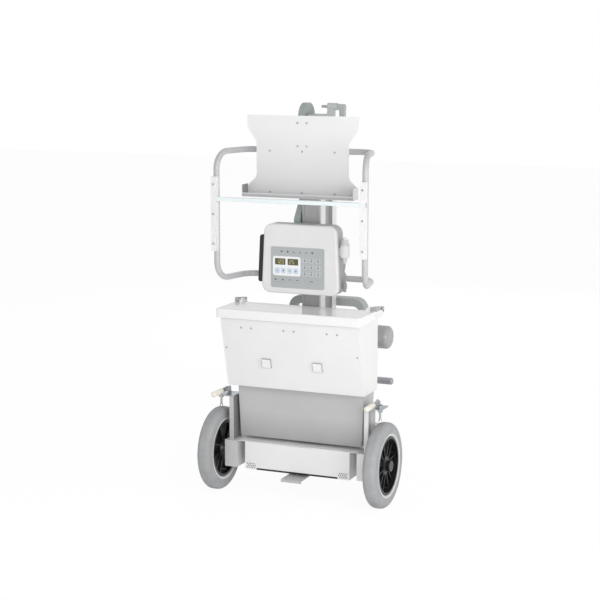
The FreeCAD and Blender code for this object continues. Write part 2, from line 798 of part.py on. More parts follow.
# Base
def hollow(low, high, wall):
    """Closed welded tube: a block with a closed hollow."""
    inner_low = [size + wall for size in low]
    inner_high = [size - wall for size in high]
    return without(block(low, high), [block(inner_low, inner_high)])


def build_base_frame():
    """Axle blocks welded to a cross beam."""
    pieces = []
    for name, side in SIDES:
        low, high = sided(side, BLOCK_INNER, S.block_outer_half)
        pieces.append(hollow(
            (low, -S.block_front, S.block_bottom), (high, S.block_back, BLOCK_TOP), S.beam_wall
        ))
    far = S.beam_front + S.beam_height
    pieces.append(hollow(
        (-BLOCK_INNER, S.beam_front, S.beam_bottom), (BLOCK_INNER, far, BEAM_TOP), S.beam_wall
    ))
    finish(union(pieces), "base_frame")


def build_leg_frame():
    """Two front legs and their cross member, with the caster housings."""
    start = S.beam_front + S.beam_height
    wall = S.beam_wall
    outer = []
    inner = []
    for name, side in SIDES:
        near = S.caster_half_track - S.leg_width / 2
        far = S.caster_half_track + S.leg_width / 2
        low, high = sided(side, near, far)
        outer.append(leg_solid(low, high, start, 0))
        inner.append(leg_solid(low + wall, high - wall, start + wall, wall))
        place = (side * S.caster_half_track, S.caster_reach, CASTER_TOP + S.seat_gap)
        reach = LEG_BOTTOM - CASTER_TOP - S.seat_gap
        outer.append(rod(place, reach, S.caster_boss_diameter, "z"))
        bore = S.caster_stem_diameter + S.running_gap * 2
        inner.append(rod(place, reach + wall * 2, bore, "z"))
    near = S.caster_half_track - S.leg_width / 2
    outer.append(block(
        (-near, S.member_front, LEG_BOTTOM), (near, S.member_front + S.member_width, BEAM_TOP)
    ))
    inner.append(block(
        (-near + wall, S.member_front + wall, LEG_BOTTOM + wall),
        (near - wall, S.member_front + S.member_width - wall, BEAM_TOP - wall),
    ))
    finish(without(union(outer), inner), "leg_frame")


def leg_solid(low, high, start, inset):
    """Leg with a sloping end, set in by a wall."""
    body = new_body("Leg")
    end = S.leg_end - inset
    top = BEAM_TOP - inset
    profile = [
        (start, LEG_BOTTOM + inset), (end, LEG_BOTTOM + inset), (end, top - S.leg_nose_drop),
        (end - S.leg_nose_run, top), (start, top),
    ]
    extrude(body, "yz", profile, low, high - low)
    return body


def build_chassis_plate():
    """Plate that ties beam, legs and column together."""
    body = new_body("ChassisPlate")
    half = S.plate_half_width
    outline_entries = [
        (-half, S.beam_front + 2, 12), (half, S.beam_front + 2, 12),
        (half, S.plate_end, 12), (-half, S.plate_end, 12),
    ]
    extrude(body, "xy", outline_entries, BEAM_TOP, S.plate_thickness)
    finish(body, "chassis_plate")


def build_battery_cover():
    """Sheet cover in front of the cross beam, with a notch and a slot."""
    half = S.cover_half_width
    wall = S.sheet_wall
    back = S.beam_front - S.seat_gap
    body = new_body("BatteryCover")
    outer = [
        (-half, S.cover_bottom), (half, S.cover_bottom), (half, S.cover_top),
        (S.notch_half_width, S.cover_top), (S.notch_half_width, S.cover_top - S.notch_depth),
        (-S.notch_half_width, S.cover_top - S.notch_depth), (-S.notch_half_width, S.cover_top),
        (-half, S.cover_top),
    ]
    extrude(body, "xz", outer, -S.cover_front, S.cover_front + back)
    inner = frame_outline((-half + wall, half - wall),
                          (S.cover_bottom + wall, S.cover_top - S.notch_depth - wall))
    extrude(body, "xz", inner, -S.cover_front + wall, S.cover_front + back,
            "PartDesign::Pocket")
    slot = frame_outline((-S.vent_half_width, S.vent_half_width),
                         (S.cover_bottom - wall, S.cover_bottom + S.vent_height))
    extrude(body, "xz", slot, -S.cover_front - wall, wall * 3, "PartDesign::Pocket")
    finish(body, "battery_cover")


def build_power_pack():
    """Two batteries on their tray, and the power module above the deck."""
    floor = S.cover_bottom + S.sheet_wall + S.seat_gap
    near = -S.cover_front + S.sheet_wall + S.seat_gap
    far = S.beam_front - S.seat_gap
    reach = S.battery_gap / 2 + S.battery_length
    pieces = [block((-reach, near, floor), (reach, far, floor + S.tray_thickness))]
    shelf = floor + S.tray_thickness
    for name, side in SIDES:
        low, high = sided(side, S.battery_gap / 2, reach)
        pieces.append(block((low, near + 2, shelf), (high, far - 2, shelf + S.battery_height)))
    base = S.housing_bottom + S.sheet_wall + S.seat_gap
    half = S.module_half_width
    pieces.append(block(
        (-half, S.housing_front + 25, base), (half, S.column_front - 8, base + S.module_height)
    ))
    finish(group(pieces), "power_pack")


def build_base_deck():
    """Dark plate that covers the base between the wheel posts."""
    body = new_body("BaseDeck")
    half = BLOCK_INNER - 1
    level = BLOCK_TOP - 1
    entries = [
        (-half, -S.cover_front, 3), (half, -S.cover_front, 3),
        (half, S.deck_end, 3), (-half, S.deck_end, 3),
    ]
    extrude(body, "xy", entries, level, S.sheet_wall)
    finish(body, "base_deck")


def build_tilt_step():
    """Folded foot step under the cross beam, used to tip the machine back."""
    body = new_body("TiltStep")
    sheet_t = S.step_sheet
    top = S.step_height
    low = top - sheet_t
    bend = S.step_back
    roof = S.beam_bottom - S.seat_gap
    flange = bend - S.step_flange
    profile = [
        (-S.step_front, top - S.step_lip), (-S.step_front + sheet_t, top - S.step_lip),
        (-S.step_front + sheet_t, low, 3), (bend, low, 6), (bend, roof, 6), (flange, roof),
        (flange, roof - sheet_t), (bend - sheet_t, roof - sheet_t, 3), (bend - sheet_t, top, 3),
        (-S.step_front, top, 6),
    ]
    extrude(body, "yz", profile, -S.step_half_width, S.step_half_width * 2)
    finish(body, "tilt_step")


# Casters
CASTER_TOP = S.caster_diameter + S.caster_crown_height + 1


def build_caster(name, side):
    """Swivel fork with its stem and axle, and its wheel."""
    x = side * S.caster_half_track
    y = S.caster_reach
    axle_y = y + S.caster_trail
    axle = S.caster_diameter / 2
    inner = S.caster_tread / 2 + S.caster_fork_gap
    outer = inner + S.caster_fork_wall
    under = CASTER_TOP - S.caster_crown_height
    pieces = [
        block((x - outer, y - 22, under), (x + outer, axle_y + 14, CASTER_TOP)),
        rod((x, y, under), S.caster_crown_height, S.caster_boss_diameter, "z"),
        rod((x, y, CASTER_TOP - 1), LEG_BOTTOM - CASTER_TOP + 9, S.caster_stem_diameter, "z"),
        rod((x - outer, axle_y, axle), outer * 2, S.caster_axle_diameter, "x"),
    ]
    for low, high in ((x - outer, x - inner), (x + inner, x + outer)):
        cheek = new_body("Cheek")
        profile = [
            (y - 22, under + 1), (axle_y - 13, axle - 12, 12), (axle_y + 13, axle - 12, 12),
            (axle_y + 14, under + 1),
        ]
        extrude(cheek, "yz", profile, low, high - low)
        pieces.append(cheek)
    finish(union(pieces), "caster_fork_" + name)

    wheel = new_body("CasterWheel")
    bore = S.caster_axle_diameter / 2 + S.running_gap
    rim = S.caster_diameter / 2
    half = S.caster_tread / 2
    section = [
        (-half, bore), (half, bore), (half, bore + 9), (half - 5, bore + 12),
        (half - 5, rim - 14), (half, rim - 11), (half, rim, 7), (-half, rim, 7),
        (-half, rim - 11), (-half + 5, rim - 14), (-half + 5, bore + 12), (-half, bore + 9),
    ]
    revolve(wheel, "xz", section)
    spot(wheel, (x, axle_y, axle))
    finish_at(wheel, "caster_wheel_" + name, axle_y)


def finish_at(item, label, y):
    """Name a turned sub-part that stands at a Y of its own."""
    finish(item, label)
    bind(item, "Placement.Base.y", FRAME_SHIFT + y)


# Posts and lower housing
def build_wheel_posts():
    """Folded channels that stand on the axle blocks and open outwards."""
    def post(side):
        inner = S.post_inner_half
        outer = inner + S.post_flange
        wall = S.post_wall
        near = -S.post_front
        far = near + S.post_depth
        edge = side * inner
        tip = side * outer
        web = side * (inner + wall)
        body = new_body("Post")
        entries = [
            (edge, near, 4), (tip, near), (tip, near + wall), (web, near + wall, 1),
            (web, far - wall, 1), (tip, far - wall), (tip, far), (edge, far, 4),
        ]
        extrude(body, "xy", entries, BLOCK_TOP, S.post_top - BLOCK_TOP)
        return body
    mirror_pair(post, "wheel_posts")


def build_lower_housing():
    """Sheet housing between deck and bin, open towards the column."""
    body = new_body("LowerHousing")
    wall = S.sheet_wall
    top = S.bin_floor - S.seat_gap
    back = S.column_front - S.seat_gap
    depth = back - S.housing_front
    low = S.housing_bottom_half
    high = S.housing_top_half
    outer = [(-low, S.housing_bottom, 3), (low, S.housing_bottom, 3), (high, top, 3),
             (-high, top, 3)]
    extrude(body, "xz", outer, S.housing_front, depth)
    inner = [(-low + wall, S.housing_bottom + wall), (low - wall, S.housing_bottom + wall),
             (high - wall, top - wall), (-high + wall, top - wall)]
    extrude(body, "xz", inner, S.housing_front + wall, depth, "PartDesign::Pocket")
    finish(body, "lower_housing")


# Column
def build_column():
    """Extruded column with a channel in each side."""
    body = new_body("Column")
    half = S.column_half_width
    near = S.column_front
    far = near + S.column_depth
    first = near + (S.column_depth - S.channel_width) / 2
    second = first + S.channel_width
    floor = half - S.channel_depth
    wall = S.column_wall
    groove = 2
    strip = half - 11
    outer = [
        (-half, near, S.column_rounding), (-strip, near), (-strip, near + groove),
        (strip, near + groove), (strip, near), (half, near, S.column_rounding),
        (half, first), (floor, first), (floor, second), (half, second),
        (half, far, S.column_rounding), (-half, far, S.column_rounding),
        (-half, second), (-floor, second), (-floor, first), (-half, first),
    ]
    extrude(body, "xy", outer, PLATE_TOP, S.column_top - PLATE_TOP)
    inner = frame_outline((-floor + wall, floor - wall), (near + wall * 2, far - wall))
    extrude(body, "xy", inner, PLATE_TOP, S.column_top - PLATE_TOP, "PartDesign::Pocket")
    finish(body, "column")


def build_column_cap():
    """Cap plate with the block that carries the arm's axle and the lock barrel."""
    half = S.column_half_width
    near = S.arm_pivot_y - S.pivot_block_depth / 2
    far = S.arm_pivot_y + S.pivot_block_depth / 2
    cap_top = S.column_top + S.cap_thickness
    bore = S.arm_axle_diameter + S.running_gap * 2
    pin_bore = S.lock_pin_diameter + S.running_gap * 2
    start = S.lock_barrel_start
    length = S.lock_barrel_end - start
    lug = start + S.lock_lug_length
    lug_half = S.lock_lug_depth / 2
    solid = union([
        block((-half, S.column_front, S.column_top),
              (half, S.column_front + S.column_depth, cap_top)),
        block((-half, near, cap_top), (half, far, S.pivot_block_top)),
        block((start, S.arm_pivot_y - lug_half, S.pivot_block_top - S.lock_lug_drop),
              (lug, S.arm_pivot_y + lug_half, S.lock_level)),
        rod((start, S.arm_pivot_y, S.lock_level), length, S.lock_barrel_diameter, "x"),
    ])
    tools = [
        rod((-half, S.arm_pivot_y, S.arm_pivot_level), half + lug, bore, "x"),
        rod((start - 1, S.arm_pivot_y, S.lock_level), length + 2, pin_bore, "x"),
    ]
    finish(without(solid, tools), "column_cap")


# Detector bin
def bin_front_at(level):
    """Y of the bin's slanted front at a height."""
    rise = (level - S.bin_floor) / (BIN_SHOULDER - S.bin_floor)
    return -(S.bin_front_low + (S.bin_front_high - S.bin_front_low) * rise)


def build_detector_bin():
    """Folded sheet bin with a slanted front, and rails that hold it to the column."""
    body = new_body("DetectorBin")
    half = S.bin_half_width
    wall = S.sheet_wall
    low = -S.bin_front_low
    high = -S.bin_front_high
    profile = [
        (low, S.bin_floor, 3), (S.bin_back, S.bin_floor, 3), (S.bin_back, S.bin_rim),
        (high, S.bin_rim), (high, BIN_SHOULDER, 8),
    ]
    extrude(body, "yz", profile, -half, half * 2)
    cavity = [
        (low + wall, S.bin_floor + wall), (S.bin_back - wall, S.bin_floor + wall),
        (S.bin_back - wall, S.bin_rim), (high + wall, S.bin_rim),
        (high + wall, BIN_SHOULDER, 8),
    ]
    extrude(body, "yz", cavity, -half + wall, (half - wall) * 2, "PartDesign::Pocket")
    reach = S.column_front - S.seat_gap
    rail = S.bin_rail_half_width
    pieces = [body]
    for level in (S.bin_floor + 30, S.bin_rim - 90):
        pieces.append(block((-rail, S.bin_back - wall, level),
                            (rail, reach, level + S.bin_rail_height)))
    strip = S.lid_back + 4
    pieces.append(block((-half + wall, strip, S.bin_rim - wall),
                        (half - wall, S.bin_back, S.bin_rim)))
    finish(union(pieces), "detector_bin")


def build_bin_bumpers():
    """Square bumpers seated on the bin's slanted front."""
    half = number(S.bumper_size) / 2
    thick = number(S.bumper_thickness)
    level = number(S.bumper_level)
    y = number(bin_front_at(S.bumper_level)) - number(S.seat_gap)
    shapes = []
    for name, side in SIDES:
        x = side * number(S.bumper_spacing) / 2
        pad = Part.makeBox(half * 2, thick, half * 2, V(x - half, -thick, -half))
        rim = [edge for edge in pad.Edges if abs(edge.CenterOfMass.y + thick) < 0.01]
        pad = pad.makeFillet(2.5, rim)
        pad.rotate(V(0, 0, 0), V(1, 0, 0), math.degrees(BIN_SLOPE))
        pad.translate(V(0, y, level))
        shapes.append(pad)
    finish(feature(Part.makeCompound(shapes)), "bin_bumpers")


def build_lid_hinges():
    """Side plates on the bin's rear corners with the lid's hinge pins."""
    def hinge(side):
        skin = S.bin_half_width + S.seat_gap
        edge = S.bin_half_width + S.lid_overhang
        ear = S.bin_half_width - S.hinge_ear_inset
        near = S.hinge_y - S.hinge_ear_diameter / 2 + 1
        top = HINGE_LEVEL + S.hinge_plate_rise
        low, high = sided(side, skin, edge)
        plate = new_body("HingePlate")
        profile = [
            (near, S.bin_rim - S.hinge_plate_drop, 3),
            (S.hinge_plate_back, S.bin_rim - S.hinge_plate_drop + S.hinge_plate_taper, 3),
            (S.hinge_plate_back, top - S.hinge_plate_slope, 3), (near, top, 3),
        ]
        extrude(plate, "yz", profile, low, high - low)
        low, high = sided(side, ear + S.hinge_ear_width + S.seat_gap, edge)
        lug = block((low, near, S.bin_rim + S.seat_gap),
                    (high, S.hinge_y + S.hinge_lug_reach, HINGE_LEVEL))
        barrel = rod((low, S.hinge_y, HINGE_LEVEL), high - low, S.hinge_ear_diameter - 2, "x")
        low, high = sided(side, ear, edge)
        pin = rod((low, S.hinge_y, HINGE_LEVEL), high - low, S.hinge_pin_diameter, "x")
        pieces = [plate, lug, barrel, pin]
        low, high = sided(side, edge - 1, edge + S.screw_height)
        far_bolt = S.hinge_plate_back - S.hinge_bolt_inset
        for place in (far_bolt, far_bolt - S.hinge_bolt_spacing):
            level = S.bin_rim + (far_bolt - place) / 2
            pieces.append(rod((low, place, level), high - low, S.hinge_bolt_diameter, "x"))
        return union(pieces)
    mirror_pair(hinge, "lid_hinges")


def build_bin_lid():
    """Lid with folded front and sides, open at the back, and its hinge ears."""
    body = new_body("BinLid")
    half = S.bin_half_width + S.lid_overhang
    wall = S.lid_wall
    top = LID_BOTTOM + S.lid_height
    bend = S.lid_corner
    entries = [(-half, -S.lid_front, bend), (half, -S.lid_front, bend), (half, S.lid_back),
               (-half, S.lid_back)]
    pad = extrude(body, "xy", entries, LID_BOTTOM, S.lid_height)
    level = number(top)
    back = number(S.lid_back)
    fillet(body, pad, S.lid_rounding, lambda edge: (
        abs(edge.BoundBox.ZMin - level) < 0.01 and edge.BoundBox.YMin < back - 0.01
    ))
    bend = S.lid_corner - wall
    entries = [(-half + wall, -S.lid_front + wall, bend),
               (half - wall, -S.lid_front + wall, bend),
               (half - wall, S.lid_back + 1), (-half + wall, S.lid_back + 1)]
    extrude(body, "xy", entries, LID_BOTTOM, S.lid_height - wall, "PartDesign::Pocket")
    pieces = [body]
    bores = []
    for name, side in SIDES:
        ear = S.bin_half_width - S.hinge_ear_inset
        low, high = sided(side, ear, ear + S.hinge_ear_width)
        pieces.append(rod((low, S.hinge_y, HINGE_LEVEL), high - low, S.hinge_ear_diameter, "x"))
        pieces.append(block((low, S.lid_back - 8, top - wall),
                            (high, S.hinge_y, HINGE_LEVEL + 3)))
        bore = S.hinge_pin_diameter + S.running_gap * 2
        bores.append(rod((low - 1, S.hinge_y, HINGE_LEVEL), high - low + 2, bore, "x"))
    finish(without(union(pieces), bores), "bin_lid")


# Handle
def build_handle_tubes():
    """Two bent tubes that form the grips and the back bars."""
    side_x = number(S.handle_half_width)
    corner_x = number(S.handle_back_half)
    front = -number(S.handle_front)
    back = number(S.column_front - S.tube_diameter / 2 - S.seat_gap)
    split = number(S.handle_split)
    bend = number(S.handle_bend)
    diameter = number(S.tube_diameter)
    gap = number(S.seat_gap) / 2
    for label, level, end in (
        ("handle_tube_upper", number(S.handle_top), split + gap),
        ("handle_tube_lower", number(S.handle_bottom), split - gap),
    ):
        points = [
            V(-side_x, front, end), V(-side_x, front, level), V(-corner_x, back, level),
            V(corner_x, back, level), V(side_x, front, level), V(side_x, front, end),
        ]
        finish(feature(tube_along(points, bend, diameter)), label)


def build_handle_rails():
    """White rails that cup the tubes' upright stretch."""
    for name, side in SIDES:
        low = side * S.handle_half_width - S.rail_width / 2
        high = side * S.handle_half_width + S.rail_width / 2
        near = -S.rail_front
        solid = block((low, near, S.rail_bottom),
                      (high, near + S.rail_depth, S.rail_bottom + S.rail_length))
        groove = rod((side * S.handle_half_width, -S.handle_front, S.rail_bottom - 1),
                     S.rail_length + 2, S.tube_diameter + S.seat_gap * 2, "z")
        finish(without(solid, [groove]), "handle_rail_" + name)


def build_cross_bar():
    """Bar between the rails."""
    reach = S.handle_half_width - S.rail_width / 2 - S.seat_gap
    body = new_body("CrossBar")
    near = -S.rail_front
    profile = [
        (near, S.bar_bottom, 3), (near + S.bar_height, S.bar_bottom, 3),
        (near + S.bar_height, S.bar_bottom + S.bar_height, 3),
        (near, S.bar_bottom + S.bar_height, 3),
    ]
    extrude(body, "yz", profile, -reach, reach * 2)
    finish(body, "cross_bar")


def build_tube_clamps():
    """Saddle clamps that hold the back bars to the column."""
    blocks = []
    back = S.column_front - S.seat_gap
    middle = S.column_front - S.seat_gap - S.tube_diameter / 2
    half = S.clamp_half_width
    for level in (S.handle_top, S.handle_bottom):
        near = middle - S.tube_diameter / 2 - S.clamp_wall
        solid = block((-half, near, level - S.clamp_height / 2),
                      (half, back, level + S.clamp_height / 2))
        bore = rod((-half - 1, middle, level), half * 2 + 2,
                   S.tube_diameter + S.seat_gap * 2, "x")
        blocks.append(without(solid, [bore]))
    finish(group(blocks), "tube_clamps")


# Laptop panel
def build_laptop_panel():
    """Waisted sheet panel with its tray, side flanges and lip."""
    body = new_body("LaptopPanel")
    wide = S.panel_half_width
    waist = S.panel_waist_half
    bend = S.panel_turn_rounding
    half_outline = [
        (wide, S.panel_bottom), (wide, S.panel_lower_turn, bend),
        (waist, S.panel_waist_low, bend), (waist, S.panel_waist_high, bend),
        (wide, S.panel_upper_turn, bend), (wide, S.panel_top, 2),
    ]
    mirrored = [(-entry[0],) + tuple(entry[1:]) for entry in reversed(half_outline)]
    extrude(body, "xz", half_outline + mirrored, S.panel_front, S.sheet_wall)
    wall = S.sheet_wall
    near = S.panel_front + wall - S.tray_depth
    floor = S.panel_bottom
    pieces = [
        body,
        block((-wide, near, floor), (wide, S.panel_front + wall, floor + wall)),
        block((-wide, near, floor), (wide, near + wall, floor + S.tray_lip)),
    ]
    for name, side in SIDES:
        low, high = sided(side, wide - wall, wide)
        pieces.append(block((low, near, floor), (high, S.panel_front + 1, floor + S.tray_side)))
    finish(union(pieces), "laptop_panel")


def build_panel_bracket():
    """Bracket from the column to the laptop panel, clear of the upper tube."""
    half = S.bracket_half_width
    near = S.panel_front + S.sheet_wall + S.seat_gap
    back = S.column_front - S.seat_gap
    plate = 5
    flat = near + plate
    room = S.clamp_height / 2 + 2
    pieces = [
        block((-half, near, S.panel_bottom + 4), (half, flat, S.panel_top - 18)),
        block((-half, near, S.handle_top + room), (half, back, S.column_top - 10)),
        block((-half, near, S.panel_bottom + 4), (half, back, S.handle_top - room)),
    ]
    reach = S.bracket_arm_reach
    for level in (S.panel_bottom + 15.5, S.handle_top + 1):
        pieces.append(block((-reach, near, level - 10), (reach, flat, level + 10)))
    wall = 3
    tools = []
    for low, high in (
        (S.handle_top + room + wall, S.column_top - 10 - wall),
        (S.panel_bottom + 4 + wall, S.handle_top - room - wall),
    ):
        tools.append(block((-half + wall, flat, low), (half - wall, back - wall, high)))
    finish(without(union(pieces), tools), "panel_bracket")


# Console
def console_outline(inset=0):
    """Tapered outline of the console, set in by a wall."""
    low = S.console_bottom_half - inset
    high = S.console_top_half - inset
    base = S.console_bottom + inset
    top = S.console_top - inset
    bend = S.console_rounding - inset
    return [(-low, base, bend), (low, base, bend), (high, top, bend), (-high, top, bend)]


def build_console():
    """Front and rear shells of the console, the membrane and the bracket."""
    split = -S.console_front + S.console_shell_depth
    wall = S.console_wall
    front = new_body("FrontShell")
    pad = extrude(front, "xz", console_outline(), -S.console_front, S.console_shell_depth)
    face = -number(S.console_front)
    fillet(front, pad, S.console_edge, lambda edge: (
        abs(edge.BoundBox.YMin - face) < 0.01 and abs(edge.BoundBox.YMax - face) < 0.01
    ))
    extrude(front, "xz", console_outline(wall), wall - S.console_front,
            S.console_shell_depth, "PartDesign::Pocket")
    finish(front, "console_front_shell")

    rear = new_body("RearShell")
    start = split + S.seat_gap
    depth = S.console_back - start
    pad = extrude(rear, "xz", console_outline(), start, depth)
    back = number(S.console_back)
    fillet(rear, pad, S.console_edge * 2, lambda edge: (
        abs(edge.BoundBox.YMin - back) < 0.01 and abs(edge.BoundBox.YMax - back) < 0.01
    ))
    extrude(rear, "xz", console_outline(wall), start, depth - wall * 2, "PartDesign::Pocket")
    finish(rear, "console_rear_shell")

    overlay = new_body("Overlay")
    entries = [
        (S.overlay_left, S.overlay_bottom, 8), (S.overlay_right, S.overlay_bottom, 8),
        (S.overlay_right, S.overlay_top, 8), (S.overlay_left, S.overlay_top, 8),
    ]
    extrude(overlay, "xz", entries, -S.console_front - S.overlay_thickness,
            S.overlay_thickness)
    finish(overlay, "console_overlay")

    half = S.column_half_width - 6
    middle = (S.console_bottom + S.console_top) / 2
    bracket = hollow(
        (-half, S.console_back + S.seat_gap, middle - 12),
        (half, S.column_front - S.seat_gap, middle + 78), S.step_sheet
    )
    finish(bracket, "console_bracket")


def console_side(level):
    """Half-width of the console at a height."""
    rise = (level - S.console_bottom) / (S.console_top - S.console_bottom)
    return S.console_bottom_half + (S.console_top_half - S.console_bottom_half) * rise


def build_console_grip():
    """Black grip beside the console, parallel with its side, on two stand-offs."""
    body = new_body("ConsoleGrip")
    low_edge = -console_side(S.grip_bottom) - S.seat_gap
    high_edge = -console_side(S.grip_top) - S.seat_gap
    gap = S.grip_gap
    foot = 22
    wide = gap + S.grip_width
    lean = (high_edge - low_edge) / (S.grip_top - S.grip_bottom)
    second = S.grip_bottom + foot
    third = S.grip_top - foot
    entries = [
        (low_edge, S.grip_bottom), (low_edge + lean * foot, second),
        (low_edge + lean * foot - gap, second, 5),
        (high_edge - lean * foot - gap, third, 5),
        (high_edge - lean * foot, third), (high_edge, S.grip_top),
        (high_edge - wide, S.grip_top, 9), (low_edge - wide, S.grip_bottom, 9),
    ]
    near = S.grip_y - S.grip_thickness / 2
    extrude(body, "xz", entries, near, S.grip_thickness)
    finish(body, "console_grip")


# Hand switch
def build_hand_switch():
    """Holder cup on the console, the hand switch with its button, cord and plug."""
    x = S.switch_x
    y = S.switch_y
    cup = S.switch_diameter + S.seat_gap * 2
    outer = cup + S.holder_wall * 2
    edge = console_side(S.holder_bottom) + S.seat_gap
    solid = union([
        rod((x, y, S.holder_bottom), S.holder_height, outer, "z"),
        block((edge, y - 10, S.holder_bottom + 6),
              (x, y + 10, S.holder_bottom + S.holder_height - 6)),
    ])
    bore = rod((x, y, S.holder_bottom - 1), S.holder_height + 2, cup, "z")
    finish(without(solid, [bore]), "switch_holder")

    collar = S.switch_diameter + S.holder_wall * 2
    rest = S.holder_bottom + S.holder_height + S.seat_gap
    barrel = S.switch_top - S.switch_shoulder
    well = S.button_travel + S.button_height
    handle = union([
        rod((x, y, S.switch_shoulder), barrel, S.switch_diameter, "z"),
        rod((x, y, rest), 6, collar, "z"),
        cone((x, y, S.switch_bottom), S.switch_shoulder - S.switch_bottom,
             S.switch_tip_diameter, S.switch_diameter, "z"),
    ])
    pocket = rod((x, y, S.switch_top - well), well + 1, S.button_diameter + 0.6, "z")
    finish(without(handle, [pocket]), "hand_switch")

    length = S.button_height * 2
    button = new_body("Button")
    radius = S.button_diameter / 2
    start = S.switch_top + S.button_height - length
    section = [(0, start), (radius, start), (radius, start + length, 3), (0, start + length)]
    revolve(button, "xz", section, "V_Axis")
    spot(button, (x, y, 0))
    finish_at(button, "switch_button", y)

    cord_top = S.switch_bottom
    cord_low = cord_top - S.cord_length
    finish(group([rod((x, y, cord_low), S.cord_length, S.cord_diameter, "z")]), "switch_cord")

    plug = new_body("Plug")
    radius = S.plug_diameter / 2
    low = cord_low - S.plug_length
    section = [
        (0, low), (radius - 2, low, 1), (radius - 2, low + 12), (radius, low + 12),
        (radius, cord_low - 8, 2), (radius / 2, cord_low), (0, cord_low),
    ]
    revolve(plug, "xz", section, "V_Axis")
    spot(plug, (x, y, 0))
    finish_at(plug, "switch_plug", y)


# Brakes
def build_brake(name, side):
    """Bracket on the post, over-centre lever with its grip, and the pressing pin."""
    plate = S.brake_plate_thickness
    floor = S.post_top
    top = floor + plate
    pin = S.brake_pin_x
    pivot = (S.brake_pivot_y, S.brake_pivot_level)
    low, high = sided(side, S.post_inner_half, pin + 10)
    base = block((low, -S.post_front, floor), (high, S.post_depth - S.post_front, top))
    strap_low = S.brake_x - S.brake_strap / 2
    strap_high = S.brake_x + S.brake_strap / 2
    low, high = sided(side, strap_low - S.seat_gap - plate, strap_low - S.seat_gap)
    ear = new_body("Ear")
    profile = [
        (pivot[0] - 16, floor + 1), (pivot[0] + 16, floor + 1),
        (pivot[0] + 12, pivot[1] + 12, 11), (pivot[0] - 12, pivot[1] + 12, 11),
    ]
    extrude(ear, "yz", profile, low, high - low)
    near_low = strap_low - S.seat_gap - plate
    far_high = strap_high + 3
    low, high = sided(side, near_low, far_high)
    axle = rod((low, pivot[0], pivot[1]), high - low, S.brake_axle_diameter, "x")
    low, high = sided(side, strap_high + S.seat_gap, far_high)
    head = rod((low, pivot[0], pivot[1]), high - low, S.brake_head_diameter, "x")
    hole_diameter = S.brake_axle_diameter + S.running_gap * 2
    under = floor - S.brake_guide_depth
    guide = rod((side * pin, -S.brake_pin_front, under), top - under,
                S.brake_guide_diameter, "z")
    bore = rod((side * pin, -S.brake_pin_front, under - 1), top - under + 2, hole_diameter, "z")
    bracket = without(union([base, ear, axle, head, guide]), [bore])
    finish(bracket, "brake_bracket_" + name)

    low, high = sided(side, strap_low, strap_high)
    strap = new_body("Strap")
    tip = -S.brake_grip_start - 16
    profile = [
        (pivot[0] + 10, pivot[1] - 9, 8), (pivot[0] + 10, pivot[1] + 9, 8),
        (pivot[0] - 14, pivot[1] + 12, 6), (tip, pivot[1] + 10, 3),
        (tip, pivot[1] - 3, 3), (pivot[0] - 14, pivot[1] - 4, 6),
    ]
    extrude(strap, "yz", profile, low, high - low)
    hole = rod((low - 1, pivot[0], pivot[1]), high - low + 2, hole_diameter, "x")
    arm_low, arm_high = sided(side, strap_high - 1, pin + S.brake_head_diameter / 2)
    finger = rod((arm_low, -S.brake_pin_front, pivot[1]), arm_high - arm_low,
                 S.brake_finger_diameter, "x")
    finish(without(union([strap, finger]), [hole]), "brake_lever_" + name)

    grip = new_body("Grip")
    radius = S.brake_grip_diameter / 2
    length = S.brake_grip_end - S.brake_grip_start
    section = [(0, 0), (radius - 2, 0, 1), (radius, length * 0.4, 30),
               (radius, length, 8), (0, length)]
    pad = revolve(grip, "xz", section, "V_Axis")
    slot = frame_outline((-(S.brake_strap / 2 + 0.1), S.brake_strap / 2 + 0.1),
                         (Size(-1, "-1"), Size(17, "17")))
    extrude(grip, "xz", slot, -radius - 1, S.brake_grip_diameter + 2, "PartDesign::Pocket")
    grip.Placement = FreeCAD.Placement(V(0, 0, 0), FreeCAD.Rotation(V(1, 0, 0), 90))
    spot(grip, (side * S.brake_x, -S.brake_grip_start, pivot[1] + 3),
         FreeCAD.Rotation(V(1, 0, 0), 90))
    finish_at(grip, "brake_grip_" + name, -S.brake_grip_start)

    x = side * pin
    y = -S.brake_pin_front
    foot = S.brake_foot_level
    top = pivot[1] - S.brake_finger_diameter / 2 - S.seat_gap
    bevel = S.brake_head_diameter / 2
    shaft = union([
        rod((x, y, foot + 1), top - foot - 1, S.brake_axle_diameter, "z"),
        cone((x, y, foot), bevel, S.brake_head_diameter, S.brake_axle_diameter + 2, "z"),
        rod((x, y, top - 3), S.screw_height + 1, S.brake_head_diameter - 1, "z"),
    ])
    finish(shaft, "brake_pin_" + name)


